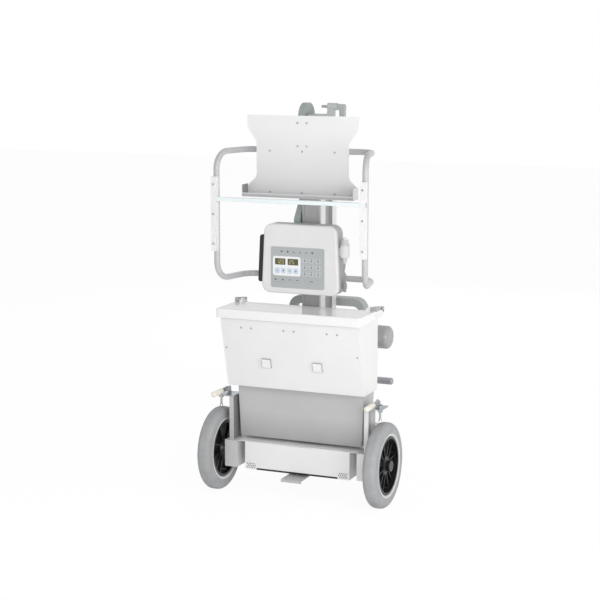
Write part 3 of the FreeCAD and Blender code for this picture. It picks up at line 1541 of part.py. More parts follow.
# Swing arm
def build_swing_arm():
    """Arm beside the column, with its upper axle and lower pivot."""
    body = new_body("SwingArm")
    y = S.arm_pivot_y
    start = -S.arm_inner - S.arm_thickness
    radius = S.arm_end_diameter / 2
    waist = S.arm_waist / 2
    high = S.arm_pivot_level
    low = ARM_LOW_LEVEL
    knee = S.arm_knee_reach
    run = (knee - waist) * 1.3
    entries = [
        (y - radius, low - radius, radius - 1), (y + radius, low - radius, radius - 1),
        (y + radius, low + radius * 0.6, 20), (y + waist, low + radius * 1.7, 60),
        (y + waist, high - radius * 1.7, 60), (y + radius, high - radius * 0.6, 20),
        (y + radius, high + radius, radius - 1), (y - radius, high + radius, radius - 1),
        (y - radius, high - radius * 0.6, 20), (y - waist, high - radius * 1.7, 60),
        (y - waist, high - S.arm_knee_drop, 40), (y - knee, high - S.arm_knee_drop - run, 24),
        (y - knee, high - S.arm_knee_drop - run - S.arm_knee_length, 20),
        (y - radius, low + radius * 0.6, 12),
    ]
    extrude(body, "yz", entries, start, S.arm_thickness)
    axle_end = S.column_half_width + 6
    upper = rod((-S.arm_inner - 1, y, high), axle_end + S.arm_inner + 1,
                S.arm_axle_diameter, "x")
    washer = rod((-S.arm_inner - 1, y, high), S.arm_inner - S.column_half_width
                 - S.seat_gap + 1, S.arm_axle_diameter + 18, "x")
    bore = S.arm_axle_diameter + S.running_gap * 2
    eye = rod((start - 1, y, low), S.arm_thickness + 2, bore, "x")
    finish(without(union([body, upper, washer]), [eye]), "swing_arm")


def build_arm_lock():
    """Lever that clamps the arm."""
    y = S.arm_pivot_y
    level = S.lock_level
    start = S.lock_barrel_start - 24
    inner = S.lock_barrel_end + S.seat_gap
    pin = rod((start, y, level), inner + 4 - start, S.lock_pin_diameter, "x")
    lever = new_body("Lever")
    end = S.lock_lever_end
    drop = level - S.lock_lever_drop
    entries = [
        (inner, level - 9, 3), (end - 22, level - 11, 6), (end - 20, drop, 7),
        (end - 5, drop, 7), (end, level + 9, 9), (inner, level + 10, 4),
    ]
    width = S.lock_pin_diameter + 8
    extrude(lever, "xz", entries, y - width / 2, width)
    finish(union([pin, lever]), "arm_lock_lever")


# Head
def build_head_yoke():
    """Levelled carrier of the head: pivot disc, stem behind the column and yoke."""
    x = S.head_x
    half = S.yoke_half_width
    arm = S.yoke_arm
    near = S.yoke_y - S.yoke_depth / 2
    far = S.yoke_y + S.yoke_depth / 2
    eye = S.journal_diameter / 2 + 16
    low = S.head_level - eye
    body = new_body("Yoke")
    top = S.yoke_top
    inner_top = top - S.yoke_band
    bend = S.yoke_rounding
    inner_bend = bend - arm
    entries = [
        (x - half, low), (x - half + arm, low), (x - half + arm, inner_top, inner_bend),
        (x + half - arm, inner_top, inner_bend), (x + half - arm, low), (x + half, low),
        (x + half, top, bend), (x - half, top, bend),
    ]
    extrude(body, "xz", entries, near, S.yoke_depth)
    pieces = [body]
    bores = []
    far_ear = S.head_y + eye
    for side in (-1, 1):
        start = x + side * half if side < 0 else x + half - arm
        ear = new_body("Ear")
        profile = [
            (near + 1, low, 10), (far_ear, low, eye - 1), (far_ear, low + eye * 2, eye - 1),
            (near + 1, low + eye * 2 + 20, 10),
        ]
        extrude(ear, "yz", profile, start, arm)
        pieces.append(ear)
        bore = S.journal_diameter + S.running_gap * 2
        bores.append(rod((start - 1, S.head_y, S.head_level), arm + 2, bore, "x"))
    stem = S.stem_width / 2
    pivot_level = ARM_LOW_LEVEL
    outer_face = -S.arm_inner - S.arm_thickness - S.seat_gap
    plate = S.arm_thickness
    pieces.append(block((x - stem, S.yoke_y - stem, top - 2),
                        (x + stem, S.yoke_y + stem, pivot_level + stem)))
    pieces.append(block((outer_face - plate, S.yoke_y - stem, pivot_level - stem),
                        (x, S.yoke_y + stem, pivot_level + stem)))
    link = new_body("Link")
    radius = S.arm_end_diameter / 2 - 7
    profile = [
        (S.arm_pivot_y - radius, pivot_level - radius, radius - 1),
        (S.arm_pivot_y + radius * 0.9, pivot_level - radius, 30),
        (S.yoke_y + stem, pivot_level - stem), (S.yoke_y + stem, pivot_level + stem),
        (S.arm_pivot_y + radius * 0.9, pivot_level + radius, 30),
        (S.arm_pivot_y - radius, pivot_level + radius, radius - 1),
    ]
    extrude(link, "yz", profile, outer_face - plate, plate)
    pieces.append(link)
    pieces.append(rod((outer_face - plate, S.arm_pivot_y, pivot_level),
                      plate + S.arm_thickness + S.seat_gap - 1, S.arm_axle_diameter, "x"))
    finish(without(union(pieces), bores), "head_yoke")


def build_tube_head():
    """Turned housing of the x-ray tube with its journals and end caps."""
    body = new_body("TubeHead")
    radius = S.head_diameter / 2
    half = S.head_half_length
    journal = S.journal_diameter / 2
    arm = S.yoke_half_width + S.seat_gap
    cap = S.end_cap_diameter / 2
    reach = S.head_reach
    section = [
        (-reach, 0), (reach, 0), (reach, cap, 16), (arm, cap, 3), (arm, journal),
        (half + 2, journal), (half, radius, 14), (-half, radius, 14), (-half - 2, journal),
        (-arm, journal), (-arm, cap, 3), (-reach, cap, 16),
    ]
    revolve(body, "xz", section)
    spot(body, (S.head_x, S.head_y, S.head_level))
    finish_at(body, "tube_head", S.head_y)


def build_collimator():
    """Collimator housing under the tube head, with its beam window and dials."""
    x = S.head_x
    half = S.collimator_half
    y = S.head_y
    top = S.head_level - S.head_diameter / 2 + 14
    body = new_body("Collimator")
    entries = [
        (x - half, y - half, 10), (x + half, y - half, 10), (x + half, y + half, 10),
        (x - half, y + half, 10),
    ]
    pad = extrude(body, "xy", entries, S.collimator_bottom, top - S.collimator_bottom)
    port_frame = (half - S.collimator_port / 2) / 3
    low = number(S.collimator_bottom)
    fillet(body, pad, port_frame / 2, lambda edge: (
        abs(edge.BoundBox.ZMin - low) < 0.01 and abs(edge.BoundBox.ZMax - low) < 0.01
    ))
    port = S.collimator_port / 2
    entries = [
        (x - port, y - port, 4), (x + port, y - port, 4), (x + port, y + port, 4),
        (x - port, y + port, 4),
    ]
    extrude(body, "xy", entries, S.collimator_bottom, port_frame, "PartDesign::Pocket")
    saddle = rod((x - half - 1, y, S.head_level), half * 2 + 2,
                 S.head_diameter + S.seat_gap * 2, "x")
    bores = [saddle]
    for side in (-1, 1):
        bores.append(rod(
            (x + side * (S.dial_spacing / 2), y + half - 12, dial_level()),
            S.dial_shaft_diameter + 4, S.dial_shaft_diameter + S.running_gap * 2, "y",
        ))
    finish(without(body, bores), "collimator")
    for name, side in SIDES:
        place = x + side * (S.dial_spacing / 2)
        start = y + half + S.seat_gap
        knob = union([
            rod((place, start, dial_level()), S.dial_length * 0.4, S.dial_diameter, "y"),
            cone((place, start + S.dial_length * 0.4, dial_level()), S.dial_length * 0.6,
                 S.dial_diameter, S.dial_diameter * 0.72, "y"),
            rod((place, y + half - 10, dial_level()), S.dial_shaft_diameter + 4,
                S.dial_shaft_diameter, "y"),
        ])
        finish(knob, "collimator_dial_" + name)


def dial_level():
    """Height of the collimator's dials."""
    return S.collimator_bottom + S.dial_height


def build_head_handle():
    """Bar for guiding the head, on two stalks behind the collimator."""
    x = S.head_x
    level = S.collimator_bottom + S.head_bar_height
    half = S.head_bar_half
    body = new_body("HeadBar")
    radius = S.bar_diameter / 2
    section = [(-half, 0), (half, 0), (half, radius, 7), (-half, radius, 7)]
    revolve(body, "xz", section)
    spot(body, (x, S.head_bar_y, level))
    pieces = [body]
    start = S.head_y + S.collimator_half + S.seat_gap
    for side in (-1, 1):
        stalk = x + side * (S.stalk_spacing / 2)
        pieces.append(rod((stalk, start, level), S.head_bar_y - start, S.stalk_diameter, "y"))
        flange = (S.stalk_flange_diameter - S.stalk_diameter) / 2
        pieces.append(rod((stalk, start, level), flange, S.stalk_flange_diameter, "y"))
    finish(union(pieces), "head_handle")


# Fasteners
def build_sheet_screws():
    """Button heads of the screws that show, on panel, bin and rails."""
    heads = []
    head = S.screw_height
    face = S.panel_front - head
    pair = S.screw_pair_spacing / 2
    row = S.screw_row_reach
    middle = Size(0, "0")
    for x, level in (
        (-pair, S.panel_top - S.screw_pair_top_drop), (pair, S.panel_top - S.screw_pair_top_drop),
        (-pair, S.screw_row_high + S.screw_pair_rise), (pair, S.screw_row_high + S.screw_pair_rise),
        (middle, S.screw_row_high), (-row, S.screw_row_high), (row, S.screw_row_high),
        (middle, S.screw_row_low), (-row, S.screw_row_low), (row, S.screw_row_low),
    ):
        heads.append(rod((x, face, level), head, S.screw_diameter, "y"))
    inset = S.rail_screw_inset
    for name, side in SIDES:
        x = side * S.handle_half_width
        for rise in (inset, S.rail_length / 2, S.rail_length - inset):
            heads.append(rod((x, -S.rail_front - head, S.rail_bottom + rise), head,
                             S.rail_screw_diameter, "y"))
        edge = S.handle_half_width + S.rail_width / 2
        low, high = sided(side, edge, edge + head)
        bar = S.bar_bottom + S.bar_height / 2
        for level in (bar - S.bar_screw_spacing / 2, bar + S.bar_screw_spacing / 2):
            heads.append(rod((low, -S.rail_front + S.bar_height / 2, level), high - low,
                             S.screw_diameter, "x"))
    finish(group(heads), "sheet_screws")


# The machine
def build():
    """Build every sub-part."""
    for name, side in SIDES:
        build_wheel(name, side)
        build_caster(name, side)
        build_brake(name, side)
    build_wheel_axles()
    build_base_frame()
    build_leg_frame()
    build_chassis_plate()
    build_battery_cover()
    build_power_pack()
    build_base_deck()
    build_tilt_step()
    build_wheel_posts()
    build_lower_housing()
    build_column()
    build_column_cap()
    build_detector_bin()
    build_bin_bumpers()
    build_lid_hinges()
    build_bin_lid()
    build_handle_tubes()
    build_handle_rails()
    build_cross_bar()
    build_tube_clamps()
    build_laptop_panel()
    build_panel_bracket()
    build_console()
    build_console_grip()
    build_hand_switch()
    build_swing_arm()
    build_arm_lock()
    build_head_yoke()
    build_tube_head()
    build_collimator()
    build_head_handle()
    build_sheet_screws()


build()
doc.recompute()

failed = [
    item.Label for item in doc.Objects
    if "Invalid" in item.State or "Error" in item.State
]
broken = [item.Label for item in parts if item.Shape.isNull() or not item.Shape.isValid()]
if failed or broken:
    raise RuntimeError("failed: %s, broken: %s" % (failed, broken))

os.makedirs("parts", exist_ok=True)
for item in parts:
    item.Shape.exportStep("parts/%s.step" % item.Label)
print("wrote %d sub-parts" % len(parts))
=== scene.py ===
"""Mobile x-ray machine: finishes, keypad, displays, fasteners, cord and studio.

Metres throughout, +X to the operator's right, +Y away from the operator, +Z up.
"""
import json
import math

import bmesh
import bpy
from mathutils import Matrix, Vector


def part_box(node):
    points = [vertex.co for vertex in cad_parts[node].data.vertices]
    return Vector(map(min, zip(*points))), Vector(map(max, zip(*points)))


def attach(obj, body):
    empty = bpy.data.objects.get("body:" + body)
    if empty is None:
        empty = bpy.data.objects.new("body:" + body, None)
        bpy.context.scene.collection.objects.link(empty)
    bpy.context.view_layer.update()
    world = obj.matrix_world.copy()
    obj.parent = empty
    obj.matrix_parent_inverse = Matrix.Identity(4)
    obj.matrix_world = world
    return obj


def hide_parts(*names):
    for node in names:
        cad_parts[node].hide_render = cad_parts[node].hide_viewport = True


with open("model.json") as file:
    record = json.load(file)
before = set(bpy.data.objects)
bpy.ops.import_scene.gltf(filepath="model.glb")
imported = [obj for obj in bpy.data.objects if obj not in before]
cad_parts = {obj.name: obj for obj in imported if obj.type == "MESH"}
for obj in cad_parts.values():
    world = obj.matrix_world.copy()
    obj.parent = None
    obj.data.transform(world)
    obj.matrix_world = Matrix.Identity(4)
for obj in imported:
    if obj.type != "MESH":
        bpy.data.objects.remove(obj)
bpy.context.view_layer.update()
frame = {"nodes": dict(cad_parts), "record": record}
NODES = frame["nodes"]
MM = 0.001

# The camera that the photograph was taken with, fitted to wheels, bin, panel and console.
CAMERA_PLACE = (2.19808, -5.43740, 1.67886)
CAMERA_PITCH = 90 - 9.454
CAMERA_YAW = 22.919
CAMERA_LENS = 94.615
SENSOR_WIDTH = 36


# Colours and nodes
def colour(hex_text):
    """Linear colour of an sRGB hex value."""
    channels = [int(hex_text[start:start + 2], 16) / 255 for start in (0, 2, 4)]
    return tuple(
        c / 12.92 if c <= 0.04045 else ((c + 0.055) / 1.055) ** 2.4 for c in channels
    ) + (1.0,)


def node(tree, kind, feeds=None, **settings):
    """Add one node, with its properties, its sockets' values and the links that feed it."""
    item = tree.nodes.new(kind)
    for name, value in settings.items():
        setattr(item, name, value)
    for name, value in (feeds or {}).items():
        socket = item.inputs[name]
        if isinstance(value, bpy.types.NodeSocket):
            tree.links.new(value, socket)
        else:
            socket.default_value = value
    return item


def empty_material(name):
    """Material with an empty node tree, and its output and shader."""
    material = bpy.data.materials.new(name)
    material.use_nodes = True
    tree = material.node_tree
    tree.nodes.clear()
    shader = node(tree, "ShaderNodeBsdfPrincipled")
    node(tree, "ShaderNodeOutputMaterial", {"Surface": shader.outputs["BSDF"]})
    return material, tree, shader


def grain(tree, size, detail=2.0, stretch=(1, 1, 1), roughness=0.5):
    """Noise in object space whose lumps are about one size, in metres, across."""
    place = node(tree, "ShaderNodeTexCoord").outputs["Object"]
    mapped = node(tree, "ShaderNodeMapping", {"Vector": place, "Scale": stretch})
    noise = node(tree, "ShaderNodeTexNoise", {
        "Vector": mapped.outputs["Vector"], "Scale": 1 / size, "Detail": detail,
        "Roughness": roughness,
    })
    return noise.outputs["Fac"]


# Most of a noise's values lie between these two.
NOISE_LOW = 0.3
NOISE_HIGH = 0.7


def mottled(tree, pattern, most, first, second):
    """Colour that a pattern takes from the first towards the second, by a share at most."""
    share = node(tree, "ShaderNodeMapRange", {
        "Value": pattern, "From Min": NOISE_LOW, "From Max": NOISE_HIGH,
        "To Min": 0.0, "To Max": most,
    }).outputs["Result"]
    return node(tree, "ShaderNodeMix", {0: share, 6: first, 7: second},
                data_type="RGBA").outputs[2]


def surfaced(tree, shader, wear, smoothest, roughest, reliefs=()):
    """Roughness that follows a pattern, and reliefs of a depth in metres, the lowest first."""
    rough = node(tree, "ShaderNodeMapRange", {
        "Value": wear, "From Min": NOISE_LOW, "From Max": NOISE_HIGH,
        "To Min": smoothest, "To Max": roughest,
    })
    tree.links.new(rough.outputs["Result"], shader.inputs["Roughness"])
    normal = None
    for height, depth in reliefs:
        bump = node(tree, "ShaderNodeBump", {"Height": height, "Distance": depth, "Strength": 1.0})
        if normal is not None:
            tree.links.new(normal, bump.inputs["Normal"])
        normal = bump.outputs["Normal"]
    if normal is not None:
        tree.links.new(normal, shader.inputs["Normal"])


# Finishes
def powder_coat(name, hex_text, dusty_hex, roughness=0.42, peel=3 * MM, depth=0.02 * MM):
    """Polyester powder coat on sheet steel: even colour and a faint orange peel.

    The real peel is about 1 mm across; it is drawn coarser so that it shows.
    """
    material, tree, shader = empty_material(name)
    clouds = grain(tree, 180 * MM, 3.0)
    scuffs = grain(tree, 30 * MM, 6.0, (1, 1, 0.4), 0.7)
    tone = mottled(tree, clouds, 0.6, colour(hex_text), colour(dusty_hex))
    tree.links.new(tone, shader.inputs["Base Color"])
    surfaced(tree, shader, scuffs, roughness - 0.05, roughness + 0.07,
             [(grain(tree, peel, 1.0), depth)])
    shader.inputs["IOR"].default_value = 1.5
    return material


def moulded_plastic(name, hex_text, shade_hex, roughness=0.5):
    """Moulded ABS or nylon: a fine spark-eroded grain that breaks up the highlights."""
    material, tree, shader = empty_material(name)
    clouds = grain(tree, 120 * MM, 2.0)
    erosion = grain(tree, 1.6 * MM, 2.0)
    tone = mottled(tree, clouds, 0.4, colour(hex_text), colour(shade_hex))
    tree.links.new(tone, shader.inputs["Base Color"])
    surfaced(tree, shader, erosion, roughness - 0.05, roughness + 0.07,
             [(erosion, 0.03 * MM)])
    shader.inputs["IOR"].default_value = 1.53
    return material


def anodised_extrusion(name, hex_text, shade_hex, roughness=0.38):
    """Clear-anodised aluminium extrusion: die lines along its length."""
    material, tree, shader = empty_material(name)
    die_lines = grain(tree, 2.5 * MM, 3.0, (1, 1, 0.004), 0.6)
    clouds = grain(tree, 200 * MM, 2.0)
    tone = mottled(tree, die_lines, 0.5, colour(hex_text), colour(shade_hex))
    tone = mottled(tree, clouds, 0.2, tone, colour(shade_hex))
    tree.links.new(tone, shader.inputs["Base Color"])
    surfaced(tree, shader, die_lines, roughness - 0.05, roughness + 0.1,
             [(die_lines, 0.03 * MM)])
    shader.inputs["Metallic"].default_value = 0.35
    return material


def zinc_plate(name, hex_text, shade_hex, roughness=0.3):
    """Bright zinc plate on steel: a cloudy sheen with a fine wipe of scratches."""
    material, tree, shader = empty_material(name)
    clouds = grain(tree, 14 * MM, 3.0)
    scratches = grain(tree, 0.9 * MM, 2.0, (0.15, 1, 1))
    tone = mottled(tree, clouds, 1.0, colour(hex_text), colour(shade_hex))
    tree.links.new(tone, shader.inputs["Base Color"])
    surfaced(tree, shader, scratches, roughness - 0.04, roughness + 0.08)
    shader.inputs["Metallic"].default_value = 0.9
    return material


TYRE_LOW, TYRE_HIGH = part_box("tyre_right")
AXLE_PLACE = (0, (TYRE_LOW[1] + TYRE_HIGH[1]) / 2, (TYRE_LOW[2] + TYRE_HIGH[2]) / 2)
BEAD_RADIUS = 117 * MM
BEAD_SOFTNESS = 1.5 * MM
RING_PITCH = 4 * MM


def wheel_radius(tree):
    """Distance from the wheels' axis, in metres."""
    place = node(tree, "ShaderNodeTexCoord").outputs["Object"]
    centred = node(tree, "ShaderNodeVectorMath", {0: place, 1: AXLE_PLACE},
                   operation="SUBTRACT").outputs["Vector"]
    flat = node(tree, "ShaderNodeVectorMath", {0: centred, 1: (0, 1, 1)},
                operation="MULTIPLY").outputs["Vector"]
    return node(tree, "ShaderNodeVectorMath", {0: flat}, operation="LENGTH").outputs["Value"]


def tyre_rubber(name, hex_text, shade_hex, bead_hex, roughness=0.62):
    """Grey non-marking rubber: matt, dusty, with fine moulded rings and a pale bead."""
    material, tree, shader = empty_material(name)
    radius = wheel_radius(tree)
    turns = node(tree, "ShaderNodeMath", {0: radius, 1: 2 * math.pi / RING_PITCH},
                 operation="MULTIPLY").outputs["Value"]
    rings = node(tree, "ShaderNodeMath", {0: turns}, operation="SINE").outputs["Value"]
    dust = grain(tree, 35 * MM, 5.0)
    tone = mottled(tree, dust, 0.8, colour(hex_text), colour(shade_hex))
    past_bead = node(tree, "ShaderNodeMapRange", {
        "Value": radius, "From Min": BEAD_RADIUS - BEAD_SOFTNESS,
        "From Max": BEAD_RADIUS + BEAD_SOFTNESS, "To Min": 0.0, "To Max": 1.0,
    }).outputs["Result"]
    tone = node(tree, "ShaderNodeMix", {0: past_bead, 6: colour(bead_hex), 7: tone},
                data_type="RGBA").outputs[2]
    tree.links.new(tone, shader.inputs["Base Color"])
    surfaced(tree, shader, dust, roughness - 0.06, roughness + 0.1,
             [(grain(tree, 1.5 * MM, 2.0), 0.1 * MM), (rings, 0.05 * MM)])
    return material


def printed_film(name, hex_text, shade_hex, roughness=0.3):
    """Polyester membrane film: smooth ink under a satin top coat."""
    material, tree, shader = empty_material(name)
    clouds = grain(tree, 50 * MM, 2.0)
    tone = mottled(tree, clouds, 0.35, colour(hex_text), colour(shade_hex))
    tree.links.new(tone, shader.inputs["Base Color"])
    surfaced(tree, shader, grain(tree, 2 * MM, 2.0), roughness - 0.04, roughness + 0.05)
    shader.inputs["Coat Weight"].default_value = 0.25
    return material


def display_glass(name, hex_text, shade_hex):
    """Reflective liquid crystal behind glass: olive, a little uneven, glossy."""
    material, tree, shader = empty_material(name)
    clouds = grain(tree, 20 * MM, 2.0)
    tone = mottled(tree, clouds, 1.0, colour(hex_text), colour(shade_hex))
    tree.links.new(tone, shader.inputs["Base Color"])
    surfaced(tree, shader, clouds, 0.06, 0.14)
    shader.inputs["Coat Weight"].default_value = 0.6
    return material


FINISHES = {
    "base_paint": powder_coat("light grey powder coat", "d6d6d6", "cdcdcd"),
    "white_sheet": powder_coat("white powder coat", "f3f3f3", "ececec", 0.4),
    "dark_sheet": powder_coat("dark grey powder coat", "8b8c8e", "7d7e80", 0.5),
    "grey_sheet": powder_coat("mid grey powder coat", "c6c6c6", "bababa", 0.45),
    "tube_paint": powder_coat("satin grey powder coat on tube", "c6c6c8", "b9b9bb", 0.3),
    "arm_paint": powder_coat("grey-green textured paint", "a9b3b0", "9ba5a2", 0.45),
    "head_enamel": powder_coat("white stoved enamel", "f3f3f2", "ececeb", 0.25,
                               5 * MM, 0.004 * MM),
    "bar_paint": anodised_extrusion("grey anodised tube", "adadb2", "a0a0a5"),
    "anodised": anodised_extrusion("anodised column extrusion", "b2b2b3", "a6a6a8"),
    "zinc": zinc_plate("bright zinc plate", "bcc0c3", "9da1a4"),
    "white_plastic": moulded_plastic("white ABS", "f3f3f2", "ebebea"),
    "white_gloss": powder_coat("gloss white enamel", "f8f8f8", "f1f1f1", 0.14,
                               6 * MM, 0.004 * MM),
    "console_plastic": moulded_plastic("light grey ABS", "e9e8e8", "e0dfdf", 0.4),
    "dark_plastic": moulded_plastic("mid grey ABS", "b2b3b4", "a5a6a7", 0.48),
    "black_plastic": moulded_plastic("black glass-filled nylon", "101112", "191a1b", 0.38),
    "cream_plastic": moulded_plastic("cream phenolic", "f3efe4", "e8e3d5", 0.25),
    "membrane": printed_film("grey membrane film", "b3b7b8", "aaaeaf"),
    "tyre": tyre_rubber("grey non-marking rubber", "acadae", "9e9fa1", "d6d6d7"),
    "cord": moulded_plastic("grey PVC sheath", "a3a5a7", "8f9193", 0.45),
}
FILM_WHITE = printed_film("white membrane ink", "f5f6f8", "eceff1")
FILM_BLUE = printed_film("pale blue key ink", "d3dfec", "c5d4e4")
FILM_EDGE = printed_film("grey key outline ink", "a0a4a6", "989c9e")
FILM_DARK = printed_film("dark legend ink", "45494d", "53575b")
FILM_KEY = printed_film("key ink", "c0c4c5", "b8bcbd")
LCD_GLASS = display_glass("olive liquid crystal", "4a4827", "57542f")
LCD_SEGMENT = display_glass("bright display segment", "c9c58a", "b8b478")
VENT_BLACK = moulded_plastic("shadow inside a vent hole", "47484a", "3b3c3e", 0.7)


# Second colours of a piece, some real and some painted light or shade. Each place is a list of
# shares that are multiplied.
def past(tree, axis, start, stop, middle=None):
    """Share that goes from 0 to 1 between two places along an axis of the piece.

    With a middle, the two places are distances from it on both sides.
    """
    place = node(tree, "ShaderNodeTexCoord").outputs["Object"]
    value = node(tree, "ShaderNodeSeparateXYZ", {"Vector": place}).outputs[axis]
    if middle is not None:
        offset = node(tree, "ShaderNodeMath", {0: value, 1: middle},
                      operation="SUBTRACT").outputs["Value"]
        value = node(tree, "ShaderNodeMath", {0: offset},
                     operation="ABSOLUTE").outputs["Value"]
    return node(tree, "ShaderNodeMapRange", {
        "Value": value, "From Min": start, "From Max": stop, "To Min": 0.0, "To Max": 1.0,
    }).outputs["Result"]


def facing(tree, axis, limit, side=1):
    """1 on faces that look along an axis by more than a limit, and 0 on the rest."""
    normal = node(tree, "ShaderNodeNewGeometry").outputs["True Normal"]
    part = node(tree, "ShaderNodeSeparateXYZ", {"Vector": normal}).outputs[axis]
    turned = node(tree, "ShaderNodeMath", {0: part, 1: side}, operation="MULTIPLY")
    return node(tree, "ShaderNodeMath", {0: turned.outputs["Value"], 1: limit},
                operation="GREATER_THAN").outputs["Value"]


def repaint(material, place, hex_text):
    """Lay a second colour over a finish at a place of the piece."""
    tree = material.node_tree
    shader = next(item for item in tree.nodes if item.type == "BSDF_PRINCIPLED")
    socket = shader.inputs["Base Color"]
    under = socket.links[0].from_socket
    share = 1.0
    for factor in place(tree):
        share = node(tree, "ShaderNodeMath", {0: share, 1: factor},
                     operation="MULTIPLY").outputs["Value"]
    over = node(tree, "ShaderNodeMix", {0: share, 6: under, 7: colour(hex_text)},
                data_type="RGBA").outputs[2]
    tree.links.new(over, socket)
    return material


def lit_side_lands(tree):
    """Painted light on the column's two side faces, outside its slots."""
    return [past(tree, "X", 37.2 * MM, 38 * MM, 0.0)]


def lip_shade(tree):
    """Painted shade on the lower edge of the lip along the front of the laptop tray."""
    front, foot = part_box("laptop_panel")[0][1:]
    return [past(tree, "Y", front + 3.4 * MM, front + 2.6 * MM),
            past(tree, "Z", foot + 14 * MM, foot + 8 * MM)]


def panel_shade(tree):
    """Painted shade that grows down the laptop panel towards its tray."""
    low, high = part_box("laptop_panel")
    return [past(tree, "Z", high[2] - 40 * MM, low[2])]


def left_flange_shade(tree):
    """Painted shade on the inner face of the tray's left flange."""
    return [past(tree, "X", -204.6 * MM, -205.4 * MM), facing(tree, "X", 0.5)]


def housing_shade(tree):
    """Painted shade that grows down the lower half of the lower housing."""
    low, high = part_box("lower_housing")
    return [past(tree, "Z", (low[2] + high[2]) / 2, low[2])]


def hub_end(tree):
    """The closed outer end of each hub."""
    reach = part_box("hub_right")[1][0]
    return [past(tree, "X", reach - 3.4 * MM, reach - 2.6 * MM, 0.0)]


def hub_socket(tree):
    """The dark middle of the hub's outer end."""
    inside = node(tree, "ShaderNodeMapRange", {
        "Value": wheel_radius(tree), "From Min": 12.4 * MM, "From Max": 11.6 * MM,
        "To Min": 0.0, "To Max": 1.0,
    }).outputs["Result"]
    return hub_end(tree) + [inside]


def hinge_bars(tree):
    """The upper edge of the hinge plates, with the pins."""
    lid_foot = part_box("bin_lid")[0][2]
    return [past(tree, "Z", lid_foot + 29.6 * MM, lid_foot + 30.4 * MM)]


def hinge_bolts(tree):
    """The bolt heads that stand out of the hinge plates."""
    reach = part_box("lid_hinges")[1][0]
    return [past(tree, "X", reach - 1.9 * MM, reach - 1.7 * MM, 0.0)]


def bumper_edge_shade(tree):
    """Painted shade on the four edges of each bumper, round its front."""
    return [node(tree, "ShaderNodeMath", {0: 1.0, 1: facing(tree, "Y", 0.8, -1)},
                 operation="SUBTRACT").outputs["Value"]]


def left_post_shade(tree):
    """Painted shade on the face of the left post that looks at the lower housing."""
    return [past(tree, "X", -99.6 * MM, -100.4 * MM), facing(tree, "X", 0.5)]


def right_fronts_light(tree):
    """Painted light on the front faces of the right post and axle block."""
    return [past(tree, "X", 99.6 * MM, 100.4 * MM), facing(tree, "Y", 0.5, -1)]


def end_caps(tree):
    """The tube head's caps, outside the yoke."""
    low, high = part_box("tube_head")
    return [past(tree, "X", 139.6 * MM, 140.4 * MM, (low[0] + high[0]) / 2)]


LAPTOP_PAINT = powder_coat("panel's white powder coat", "f3f3f3", "ededed")
# The panel carries painted shade down its face, on the lip's lower edge and inside the left
# flange.
repaint(LAPTOP_PAINT, panel_shade, "dcdcdc")
repaint(LAPTOP_PAINT, lip_shade, "b4b4b7")
repaint(LAPTOP_PAINT, left_flange_shade, "8b8987")

HINGE_PAINT = powder_coat("hinge's white powder coat", "f3f3f3", "ececec", 0.4)
repaint(HINGE_PAINT, hinge_bars, "b2b3b3")
repaint(HINGE_PAINT, hinge_bolts, "55575a")

HUB_PLASTIC = moulded_plastic("hub's black glass-filled nylon", "0e0f10", "17181a", 0.38)
repaint(HUB_PLASTIC, hub_end, "3d3e40")
repaint(HUB_PLASTIC, hub_socket, "232425")

POST_PAINT = powder_coat("post's grey powder coat", "c9c9c9", "bebebe", 0.45)
# Painted shade on the left post's inner face, and painted light on the right post's front.
repaint(POST_PAINT, left_post_shade, "7e7e7f")
repaint(POST_PAINT, right_fronts_light, "ebebeb")

BLOCK_PAINT = powder_coat("axle block's grey powder coat", "d6d6d6", "cdcdcd")
# The axle block's right front carries painted light.
repaint(BLOCK_PAINT, right_fronts_light, "f6f6f6")

HOUSING_PAINT = powder_coat("housing's grey powder coat", "c6c6c6", "bcbcbc", 0.45)
# Painted shade down the housing's lower half.
repaint(HOUSING_PAINT, housing_shade, "a6a6a7")

BUMPER_NYLON = moulded_plastic("bumper's white nylon", "f6f6f5", "efefee")
# Painted shade on the bumpers' edges.
repaint(BUMPER_NYLON, bumper_edge_shade, "a9a9a9")

# Pieces whose finish differs from the one of their slot.
NODE_FINISHES = {
    "hub_left": HUB_PLASTIC,
    "hub_right": HUB_PLASTIC,
    "lower_housing": HOUSING_PAINT,
    "base_deck": powder_coat("deck's light grey powder coat", "f4f4f4", "e9e9e9"),
    "tilt_step": powder_coat("step's grey powder coat", "c2c2c3", "b7b7b8"),
    "laptop_panel": LAPTOP_PAINT,
    "column_cap": powder_coat("cap's light grey paint", "c6caca", "b9bdbd", 0.35),
    "cross_bar": powder_coat("bar's cool white enamel", "f2fafb", "e8f3f5", 0.18),
    "lid_hinges": HINGE_PAINT,
    "bin_bumpers": BUMPER_NYLON,
    "wheel_posts": POST_PAINT,
    "base_frame": BLOCK_PAINT,
    "hand_switch": moulded_plastic("switch's grey ABS", "d2d2d3", "c6c6c7", 0.42),
    "switch_holder": moulded_plastic("holder's grey ABS", "e3e3e4", "d7d7d8", 0.42),
    "switch_plug": moulded_plastic("plug's grey PVC", "97989a", "8a8b8d", 0.45),
    # The column's side faces carry painted light.
    "column": repaint(FINISHES["anodised"], lit_side_lands, "ececec"),
    "tube_head": repaint(FINISHES["head_enamel"], end_caps, "a6a6a6"),
    "head_yoke": powder_coat("yoke's grey paint", "b0b3b3", "a4a7a7", 0.42),
    "arm_lock_lever": powder_coat("lever's satin grey paint", "b3b8b8", "a4a9a9", 0.3),
}

for entry in frame["record"]["subparts"]:
    shown = NODES[entry["node"]]
    shown.data.materials.clear()
    shown.data.materials.append(
        NODE_FINISHES.get(entry["node"], FINISHES[entry["material_slot"]]))


# Studio
SKY_LIGHT = 0.5
FLOOR_WHITE = 0.9
FLOOR_GLOW = 1.03
FLOOR_SIZE = 30
FLOOR_ROUGHNESS = 0.9
LAMP_AIM = Vector((0, -0.1, 0.7))
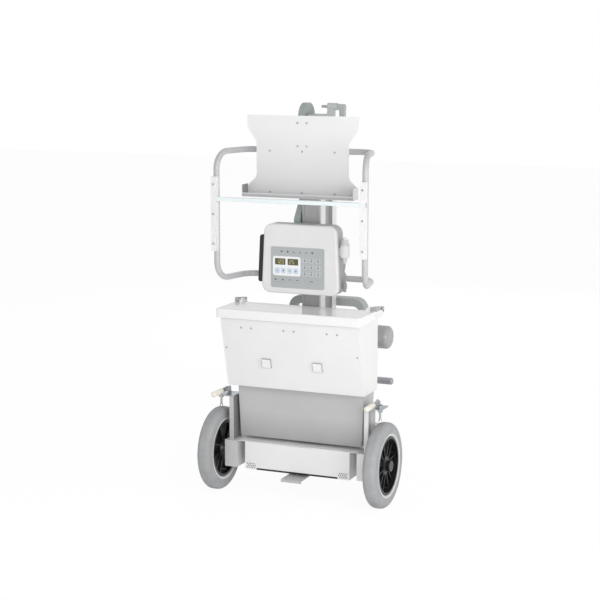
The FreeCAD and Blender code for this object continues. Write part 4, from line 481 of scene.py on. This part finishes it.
# Name, place, size in metres and power in watts of each soft lamp.
LAMPS = (
    ("key", (2.9, -4.1, 1.9), 2.8, 88),
    ("side", (2.6, -1.4, 1.1), 1.2, 17),
    ("fill", (-2.8, -3.4, 1.5), 2.4, 8),
    ("rear", (-0.5, 4.2, 2.4), 2.6, 38),
)


def seen_directly(tree):
    """1 for a ray from the camera, a reflection or a pane, and 0 for light."""
    rays = node(tree, "ShaderNodeLightPath").outputs
    seen = node(tree, "ShaderNodeMath", {0: rays["Is Camera Ray"], 1: rays["Is Glossy Ray"]},
                operation="MAXIMUM").outputs["Value"]
    return node(tree, "ShaderNodeMath", {0: seen, 1: rays["Is Transmission Ray"]},
                operation="MAXIMUM").outputs["Value"]


def build_floor():
    """Pale floor that shows white and keeps the machine's shadow."""
    bpy.ops.mesh.primitive_plane_add(size=FLOOR_SIZE, location=(0, 0, 0))
    floor = bpy.context.object
    floor.name = "floor"
    material, tree, shader = empty_material("pale studio floor")
    shader.inputs["Base Color"].default_value = colour("fbfbfb")
    shader.inputs["Roughness"].default_value = FLOOR_ROUGHNESS
    white = node(tree, "ShaderNodeEmission", {"Color": (1, 1, 1, 1), "Strength": FLOOR_GLOW})
    share = node(tree, "ShaderNodeMath", {0: seen_directly(tree), 1: FLOOR_WHITE},
                 operation="MULTIPLY").outputs["Value"]
    mixed = node(tree, "ShaderNodeMixShader", {
        0: share, 1: shader.outputs["BSDF"], 2: white.outputs["Emission"],
    })
    output = next(item for item in tree.nodes if item.type == "OUTPUT_MATERIAL")
    tree.links.new(mixed.outputs["Shader"], output.inputs["Surface"])
    floor.data.materials.append(material)


def build_sky():
    """Even sky that shows white behind the machine and lights it more softly."""
    world = bpy.data.worlds.new("studio sky")
    bpy.context.scene.world = world
    world.use_nodes = True
    tree = world.node_tree
    tree.nodes.clear()
    strength = node(tree, "ShaderNodeMapRange", {
        "Value": seen_directly(tree), "From Min": 0.0, "From Max": 1.0,
        "To Min": SKY_LIGHT, "To Max": 1.0,
    }).outputs["Result"]
    sky = node(tree, "ShaderNodeBackground", {"Color": (1, 1, 1, 1), "Strength": strength})
    node(tree, "ShaderNodeOutputWorld", {"Surface": sky.outputs["Background"]})


def build_lamps():
    """Soft square lamps that look at the machine; the rear one makes no highlight."""
    for name, place, size, power in LAMPS:
        data = bpy.data.lights.new(name, "AREA")
        data.size = size
        data.energy = power
        lamp = bpy.data.objects.new(name, data)
        lamp.location = place
        lamp.rotation_euler = (LAMP_AIM - Vector(place)).to_track_quat("-Z", "Y").to_euler()
        lamp.visible_glossy = name != "rear"
        bpy.context.collection.objects.link(lamp)


def build_camera():
    """Camera at the photograph's place, and the plain view transform."""
    data = bpy.data.cameras.new("camera")
    data.lens = CAMERA_LENS
    data.sensor_width = SENSOR_WIDTH
    camera = bpy.data.objects.new("camera", data)
    camera.location = CAMERA_PLACE
    camera.rotation_euler = (math.radians(CAMERA_PITCH), 0, math.radians(CAMERA_YAW))
    bpy.context.collection.objects.link(camera)
    bpy.context.scene.camera = camera
    bpy.context.scene.view_settings.view_transform = "Standard"


build_floor()
build_sky()
build_lamps()
build_camera()


# Pieces
def place_piece(name, mesh, material, body):
    """Object at the origin with its finish, riding on a body."""
    item = bpy.data.objects.new(name, mesh)
    bpy.context.collection.objects.link(item)
    mesh.materials.clear()
    mesh.materials.append(material)
    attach(item, body)
    return item


def head_tree(material, sides, top_share):
    """Geometry Nodes tree that stands a round head on every point of its input."""
    tree = bpy.data.node_groups.new("heads on points", "GeometryNodeTree")
    for name, kind in (("Geometry", "Geometry"), ("Radius", "Float"), ("Height", "Float"),
                       ("Turn", "Rotation")):
        tree.interface.new_socket(name, in_out="INPUT", socket_type="NodeSocket" + kind)
    tree.interface.new_socket("Geometry", in_out="OUTPUT", socket_type="NodeSocketGeometry")
    given = node(tree, "NodeGroupInput").outputs
    top = node(tree, "ShaderNodeMath", {0: given["Radius"], 1: top_share},
               operation="MULTIPLY").outputs["Value"]
    head = node(tree, "GeometryNodeMeshCone", {
        "Vertices": sides, "Radius Top": top, "Radius Bottom": given["Radius"],
        "Depth": given["Height"],
    }).outputs["Mesh"]
    stood = node(tree, "GeometryNodeInstanceOnPoints", {
        "Points": given["Geometry"], "Instance": head, "Rotation": given["Turn"],
    }).outputs["Instances"]
    real = node(tree, "GeometryNodeRealizeInstances", {"Geometry": stood}).outputs["Geometry"]
    painted = node(tree, "GeometryNodeSetMaterial", {"Geometry": real, "Material": material})
    node(tree, "NodeGroupOutput", {"Geometry": painted.outputs["Geometry"]})
    return tree


def heads(name, places, radius, height, turn, material, body, sides=24, top_share=0.78):
    """Round heads on a list of places, as one plain mesh."""
    mesh = bpy.data.meshes.new(name)
    mesh.from_pydata([tuple(place) for place in places], [], [])
    carrier = bpy.data.objects.new(name + "_points", mesh)
    bpy.context.collection.objects.link(carrier)
    tree = head_tree(material, sides, top_share)
    modifier = carrier.modifiers.new("heads", "NODES")
    modifier.node_group = tree
    sockets = {
        item.name: item.identifier for item in tree.interface.items_tree
        if item.in_out == "INPUT"
    }
    modifier[sockets["Radius"]] = radius
    modifier[sockets["Height"]] = height
    modifier[sockets["Turn"]] = turn
    bpy.context.view_layer.update()
    seen = carrier.evaluated_get(bpy.context.evaluated_depsgraph_get())
    result = bpy.data.meshes.new_from_object(seen)
    bpy.data.objects.remove(carrier)
    return place_piece(name, result, material, body)


CORD_DIAMETER = 6 * MM
CORD_SWAY = 5 * MM


def build_cord():
    """Short lead between the hand switch and its plug, hanging by its own weight."""
    low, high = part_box("switch_cord")
    middle = (Vector(high) + Vector(low)) / 2
    x, y = middle.x, middle.y
    route = [
        (x, y, high[2]),
        (x, y, high[2] - 14 * MM),
        (x - CORD_SWAY, y, high[2] - 28 * MM),
        (x + CORD_SWAY, y, low[2] + 24 * MM),
        (x, y, low[2] + 12 * MM),
        (x, y, low[2]),
    ]
    data = bpy.data.curves.new("switch_lead", "CURVE")
    data.dimensions = "3D"
    data.bevel_depth = CORD_DIAMETER / 2
    data.bevel_resolution = 6
    data.use_fill_caps = True
    spline = data.splines.new("NURBS")
    spline.points.add(len(route) - 1)
    for point, place in zip(spline.points, route):
        point.co = (*place, 1)
    spline.order_u = 3
    spline.use_endpoint_u = True
    data.resolution_u = 16
    lead = bpy.data.objects.new("switch_lead", data)
    bpy.context.collection.objects.link(lead)
    data.materials.append(FINISHES["cord"])
    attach(lead, "handset")
    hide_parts("switch_cord")


build_cord()


# Shapes for thin printed and raised pieces
def rounded_plate(width, height, thickness, rounding, steps=5):
    """Rounded rectangle about the origin, in X and Z, that stands out towards -Y."""
    rim = []
    for corner, (sx, sz) in enumerate(((1, 1), (-1, 1), (-1, -1), (1, -1))):
        for step in range(steps + 1):
            angle = math.pi / 2 * (corner + step / steps)
            rim.append((
                sx * (width / 2 - rounding) + rounding * math.cos(angle),
                sz * (height / 2 - rounding) + rounding * math.sin(angle),
            ))
    bevel = min(thickness, rounding) * 0.4
    count = len(rim)
    rings = ((0.0, 0.0), (0.0, -(thickness - bevel)), (-bevel, -thickness))
    verts = []
    for inset, y in rings:
        for x, z in rim:
            scale_x = (width / 2 + inset) / (width / 2)
            scale_z = (height / 2 + inset) / (height / 2)
            verts.append((x * scale_x, y, z * scale_z))
    faces = [tuple(range(count)), tuple(reversed(range(2 * count, 3 * count)))]
    for ring in range(len(rings) - 1):
        for index in range(count):
            after = (index + 1) % count
            start = ring * count
            faces.append((start + after, start + index, start + count + index,
                          start + count + after))
    return verts, faces


def joined(name, parts, material, body):
    """One piece out of several (verts, faces, place) parts."""
    verts = []
    faces = []
    for part_verts, part_faces, place in parts:
        offset = len(verts)
        verts += [tuple(Vector(vert) + Vector(place)) for vert in part_verts]
        faces += [tuple(index + offset for index in face) for face in part_faces]
    mesh = bpy.data.meshes.new(name)
    mesh.from_pydata(verts, [], faces)
    form = bmesh.new()
    form.from_mesh(mesh)
    bmesh.ops.recalc_face_normals(form, faces=form.faces)
    form.to_mesh(mesh)
    form.free()
    return place_piece(name, mesh, material, body)


# Keypad on the membrane, in millimetres
OVERLAY_LOW, OVERLAY_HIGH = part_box("console_overlay")

# Width, height and rounding of the window, the displays and the keys.
WINDOW = (109, 71, 8)
LCD = (41, 23, 1.5)
ADJUSTING_KEY = (20, 21, 6)
GRID_KEY = (20, 18, 2.5)
FOOT_KEY = (24, 19)
LONG_KEY = (44, 19)
BORDER_LINE = 0.9

# Places from the membrane's upper left corner, across and down.
WINDOW_PLACE = (63, 70)
LCD_COLUMNS = (37.5, 87.5)
LCD_ROW = 54
ADJUSTING_COLUMNS = (26, 50, 75, 99)
ADJUSTING_ROW = 87
GRID_PLACES = [(across, down) for across in (134, 160, 186) for down in (45, 69.5, 94)]
FOOT_COLUMNS = (19, 47.5, 76, 104.5)
FOOT_ROW = 120
LONG_KEY_COLUMN = 160

# First column and text of each display, and the bars that each digit lights.
DIGITS = ((27, "120"), (77, "25"))
DIGIT_PITCH = 10.5
DIGIT_HEIGHT = 13
LIT_BARS = {"0": "abcdef", "1": "bc", "2": "abged", "5": "afgcd"}

# Thickness of the printed and raised layers, and how far some stand off the membrane.
PRINT = 0.15
LEGEND = 0.2
RAISED = 0.3
DIGIT_FILM = 0.25
LCD_THICKNESS = 0.6
KEY_THICKNESS = 0.7
OVER_LCD = 0.9
OVER_KEY = 1.0

# Plain legends: width, height, rounding, thickness, lift and places.
LEGENDS = (
    (5, 5, 1.8, LEGEND, RAISED, [(across, down + 2) for across, down in GRID_PLACES]),
    (7, 1.4, 0.5, LEGEND, RAISED, [(across, down - 6) for across, down in GRID_PLACES]),
    (6, 6, 1.2, LEGEND, 0.0, [(across, FOOT_ROW) for across in FOOT_COLUMNS[:2]]),
    (9, 2.4, 0.8, LEGEND, 0.0, [(across, FOOT_ROW) for across in FOOT_COLUMNS[2:]]),
    (12, 2.6, 1, LEGEND, 0.0, [(LONG_KEY_COLUMN, FOOT_ROW + 2)]),
    (7, 7, 3.4, RAISED, 0.0, [(across, 17) for across in (43, 67, 163)]),
    (5, 5, 1.9, RAISED, 0.0, [(across, 18) for across in (91, 115, 139)]),
    (7, 2, 0.8, LEGEND, OVER_KEY, [(across, ADJUSTING_ROW) for across in ADJUSTING_COLUMNS]),
    (2, 7, 0.8, LEGEND, OVER_KEY, [(across, ADJUSTING_ROW) for across in (50, 99)]),
)


def on_film(across, down, lift):
    """Place on the membrane, from millimetres off its upper left corner and its face."""
    return (OVERLAY_LOW[0] + across * MM, OVERLAY_LOW[1] - lift * MM,
            OVERLAY_HIGH[2] - down * MM)


def key(shape, across, down, thickness, lift=0.0):
    """One raised key of a width, height and rounding."""
    width, height, rounding = shape
    verts, faces = rounded_plate(width * MM, height * MM, thickness * MM, rounding * MM)
    return verts, faces, on_film(across, down, lift)


def seven_segments(digit, across, down):
    """Lit bars of one seven-segment digit."""
    half = DIGIT_HEIGHT / 4
    bars = {
        "a": (0, -half * 2, True), "g": (0, 0, True), "d": (0, half * 2, True),
        "f": (-half, -half, False), "b": (half, -half, False),
        "e": (-half, half, False), "c": (half, half, False),
    }
    stroke = DIGIT_HEIGHT * 0.13
    length = half * 1.7
    made = []
    for name in LIT_BARS[digit]:
        x, z, level = bars[name]
        wide, tall = (length, stroke) if level else (stroke, length)
        made.append(key((wide, tall, stroke * 0.3), across + x, down + z, DIGIT_FILM, OVER_LCD))
    return made


def outline_of(size, across, down):
    """Four printed lines round a key."""
    width, height = size
    rounding = BORDER_LINE * 0.3
    lines = [key((width, BORDER_LINE, rounding), across, down + side * height / 2, PRINT)
             for side in (-1, 1)]
    lines += [key((BORDER_LINE, height, rounding), across + side * width / 2, down, PRINT)
              for side in (-1, 1)]
    return lines


def build_keypad():
    """Display window, displays, keys and plain legends on the membrane."""
    window = [key(WINDOW, *WINDOW_PLACE, RAISED)]
    displays = [key(LCD, across, LCD_ROW, LCD_THICKNESS, RAISED) for across in LCD_COLUMNS]
    digits = [
        bar for start, text in DIGITS for index, digit in enumerate(text)
        for bar in seven_segments(digit, start + index * DIGIT_PITCH, LCD_ROW)
    ]
    adjusting = [
        key(ADJUSTING_KEY, across, ADJUSTING_ROW, KEY_THICKNESS, RAISED)
        for across in ADJUSTING_COLUMNS
    ]
    grid = [key(GRID_KEY, across, down, RAISED) for across, down in GRID_PLACES]
    borders = [
        line for across in FOOT_COLUMNS for line in outline_of(FOOT_KEY, across, FOOT_ROW)
    ] + outline_of(LONG_KEY, LONG_KEY_COLUMN, FOOT_ROW)
    legends = [
        key((width, height, rounding), across, down, thickness, lift)
        for width, height, rounding, thickness, lift, places in LEGENDS
        for across, down in places
    ]
    for name, parts, film in (
        ("display_window", window, FILM_WHITE),
        ("display_glass", displays, LCD_GLASS),
        ("display_digits", digits, LCD_SEGMENT),
        ("adjusting_keys", adjusting, FILM_BLUE),
        ("grid_keys", grid, FILM_KEY),
        ("key_borders", borders, FILM_EDGE),
        ("key_legends", legends, FILM_DARK),
    ):
        joined(name, parts, film, "frame")


build_keypad()


# Screws of the bin's slanted front
BIN_LEAN = 65 * MM
BIN_RISE = 268 * MM
BIN_FRONT_FOOT = -286 * MM
BIN_SCREW_RADIUS = 3.6 * MM
BIN_SCREW_HEIGHT = 1.6 * MM
BIN_SCREW_PROUD = 0.6 * MM
# Across and above the floor, in millimetres: three pairs under the lid, and one at each side.
BIN_SCREWS = [
    (middle + side * 20, 641) for middle in (-168, -1, 166) for side in (-1, 1)
] + [(-256, 560), (256, 560)]


def build_bin_screws():
    """Screws that stand square on the bin's slanted front."""
    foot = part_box("detector_bin")[0][2]
    slope = math.atan2(BIN_LEAN, BIN_RISE)
    places = []
    for across, level in BIN_SCREWS:
        front = BIN_FRONT_FOOT - BIN_LEAN * (level * MM - foot) / BIN_RISE
        places.append((across * MM, front - BIN_SCREW_PROUD, level * MM))
    heads("bin_screws", places, BIN_SCREW_RADIUS, BIN_SCREW_HEIGHT,
          (math.pi / 2 + slope, 0, 0), FINISHES["zinc"], "frame")


build_bin_screws()


# Vent holes, shade strip in the lower slot and deck lip of the battery cover
VENT_COLUMNS = 5
VENT_ROWS = 3
VENT_PITCH = 7 * MM
VENT_INSET = 10 * MM
VENT_RISE = 8 * MM
VENT_RADIUS = 2.1 * MM
VENT_DEPTH = 0.3 * MM
VENT_PROUD = 0.05 * MM
SLOT_WIDTH = 322 * MM
SLOT_HEIGHT = 6.6 * MM
SHADE_STRIP_INSET = 1 * MM
NOTCH_WIDTH = 116 * MM
NOTCH_HEIGHT = 9 * MM
LIP_INSET = 2.2 * MM
LIP_DROP = 1 * MM
TRIM_THICKNESS = 0.8 * MM
TRIM_ROUNDING = 0.3 * MM


def build_vents():
    """Two clusters of small round holes at the battery cover's lower corners, drawn as dark discs
    of painted shadow.
    """
    low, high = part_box("battery_cover")
    places = []
    for side in (-1, 1):
        for column in range(VENT_COLUMNS):
            for row in range(VENT_ROWS):
                shift = VENT_PITCH / 2 if row % 2 else 0
                across = side * (high[0] - VENT_INSET - column * VENT_PITCH - shift)
                level = low[2] + VENT_RISE + row * VENT_PITCH
                places.append((across, low[1] - VENT_PROUD, level))
    heads("cover_vent_holes", places, VENT_RADIUS, VENT_DEPTH, (math.pi / 2, 0, 0),
          VENT_BLACK, "frame", 12, 1.0)


def build_cover_trim():
    """Black strip of painted shade behind the cover's lower slot, and the deck's lip behind its
    notch.
    """
    low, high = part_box("battery_cover")
    middle = (low[0] + high[0]) / 2
    shade_strip = rounded_plate(SLOT_WIDTH, SLOT_HEIGHT, TRIM_THICKNESS, TRIM_ROUNDING)
    shade_strip_place = (middle, low[1] + SHADE_STRIP_INSET, low[2] + SLOT_HEIGHT / 2)
    joined("cover_slot_shade_strip", [(*shade_strip, shade_strip_place)], FINISHES["black_plastic"], "frame")
    lip = rounded_plate(NOTCH_WIDTH, NOTCH_HEIGHT, TRIM_THICKNESS, TRIM_ROUNDING)
    lip_place = (middle, low[1] + LIP_INSET, high[2] - NOTCH_HEIGHT / 2 - LIP_DROP)
    joined("deck_lip", [(*lip, lip_place)], NODE_FINISHES["base_deck"], "frame")


build_vents()
build_cover_trim()
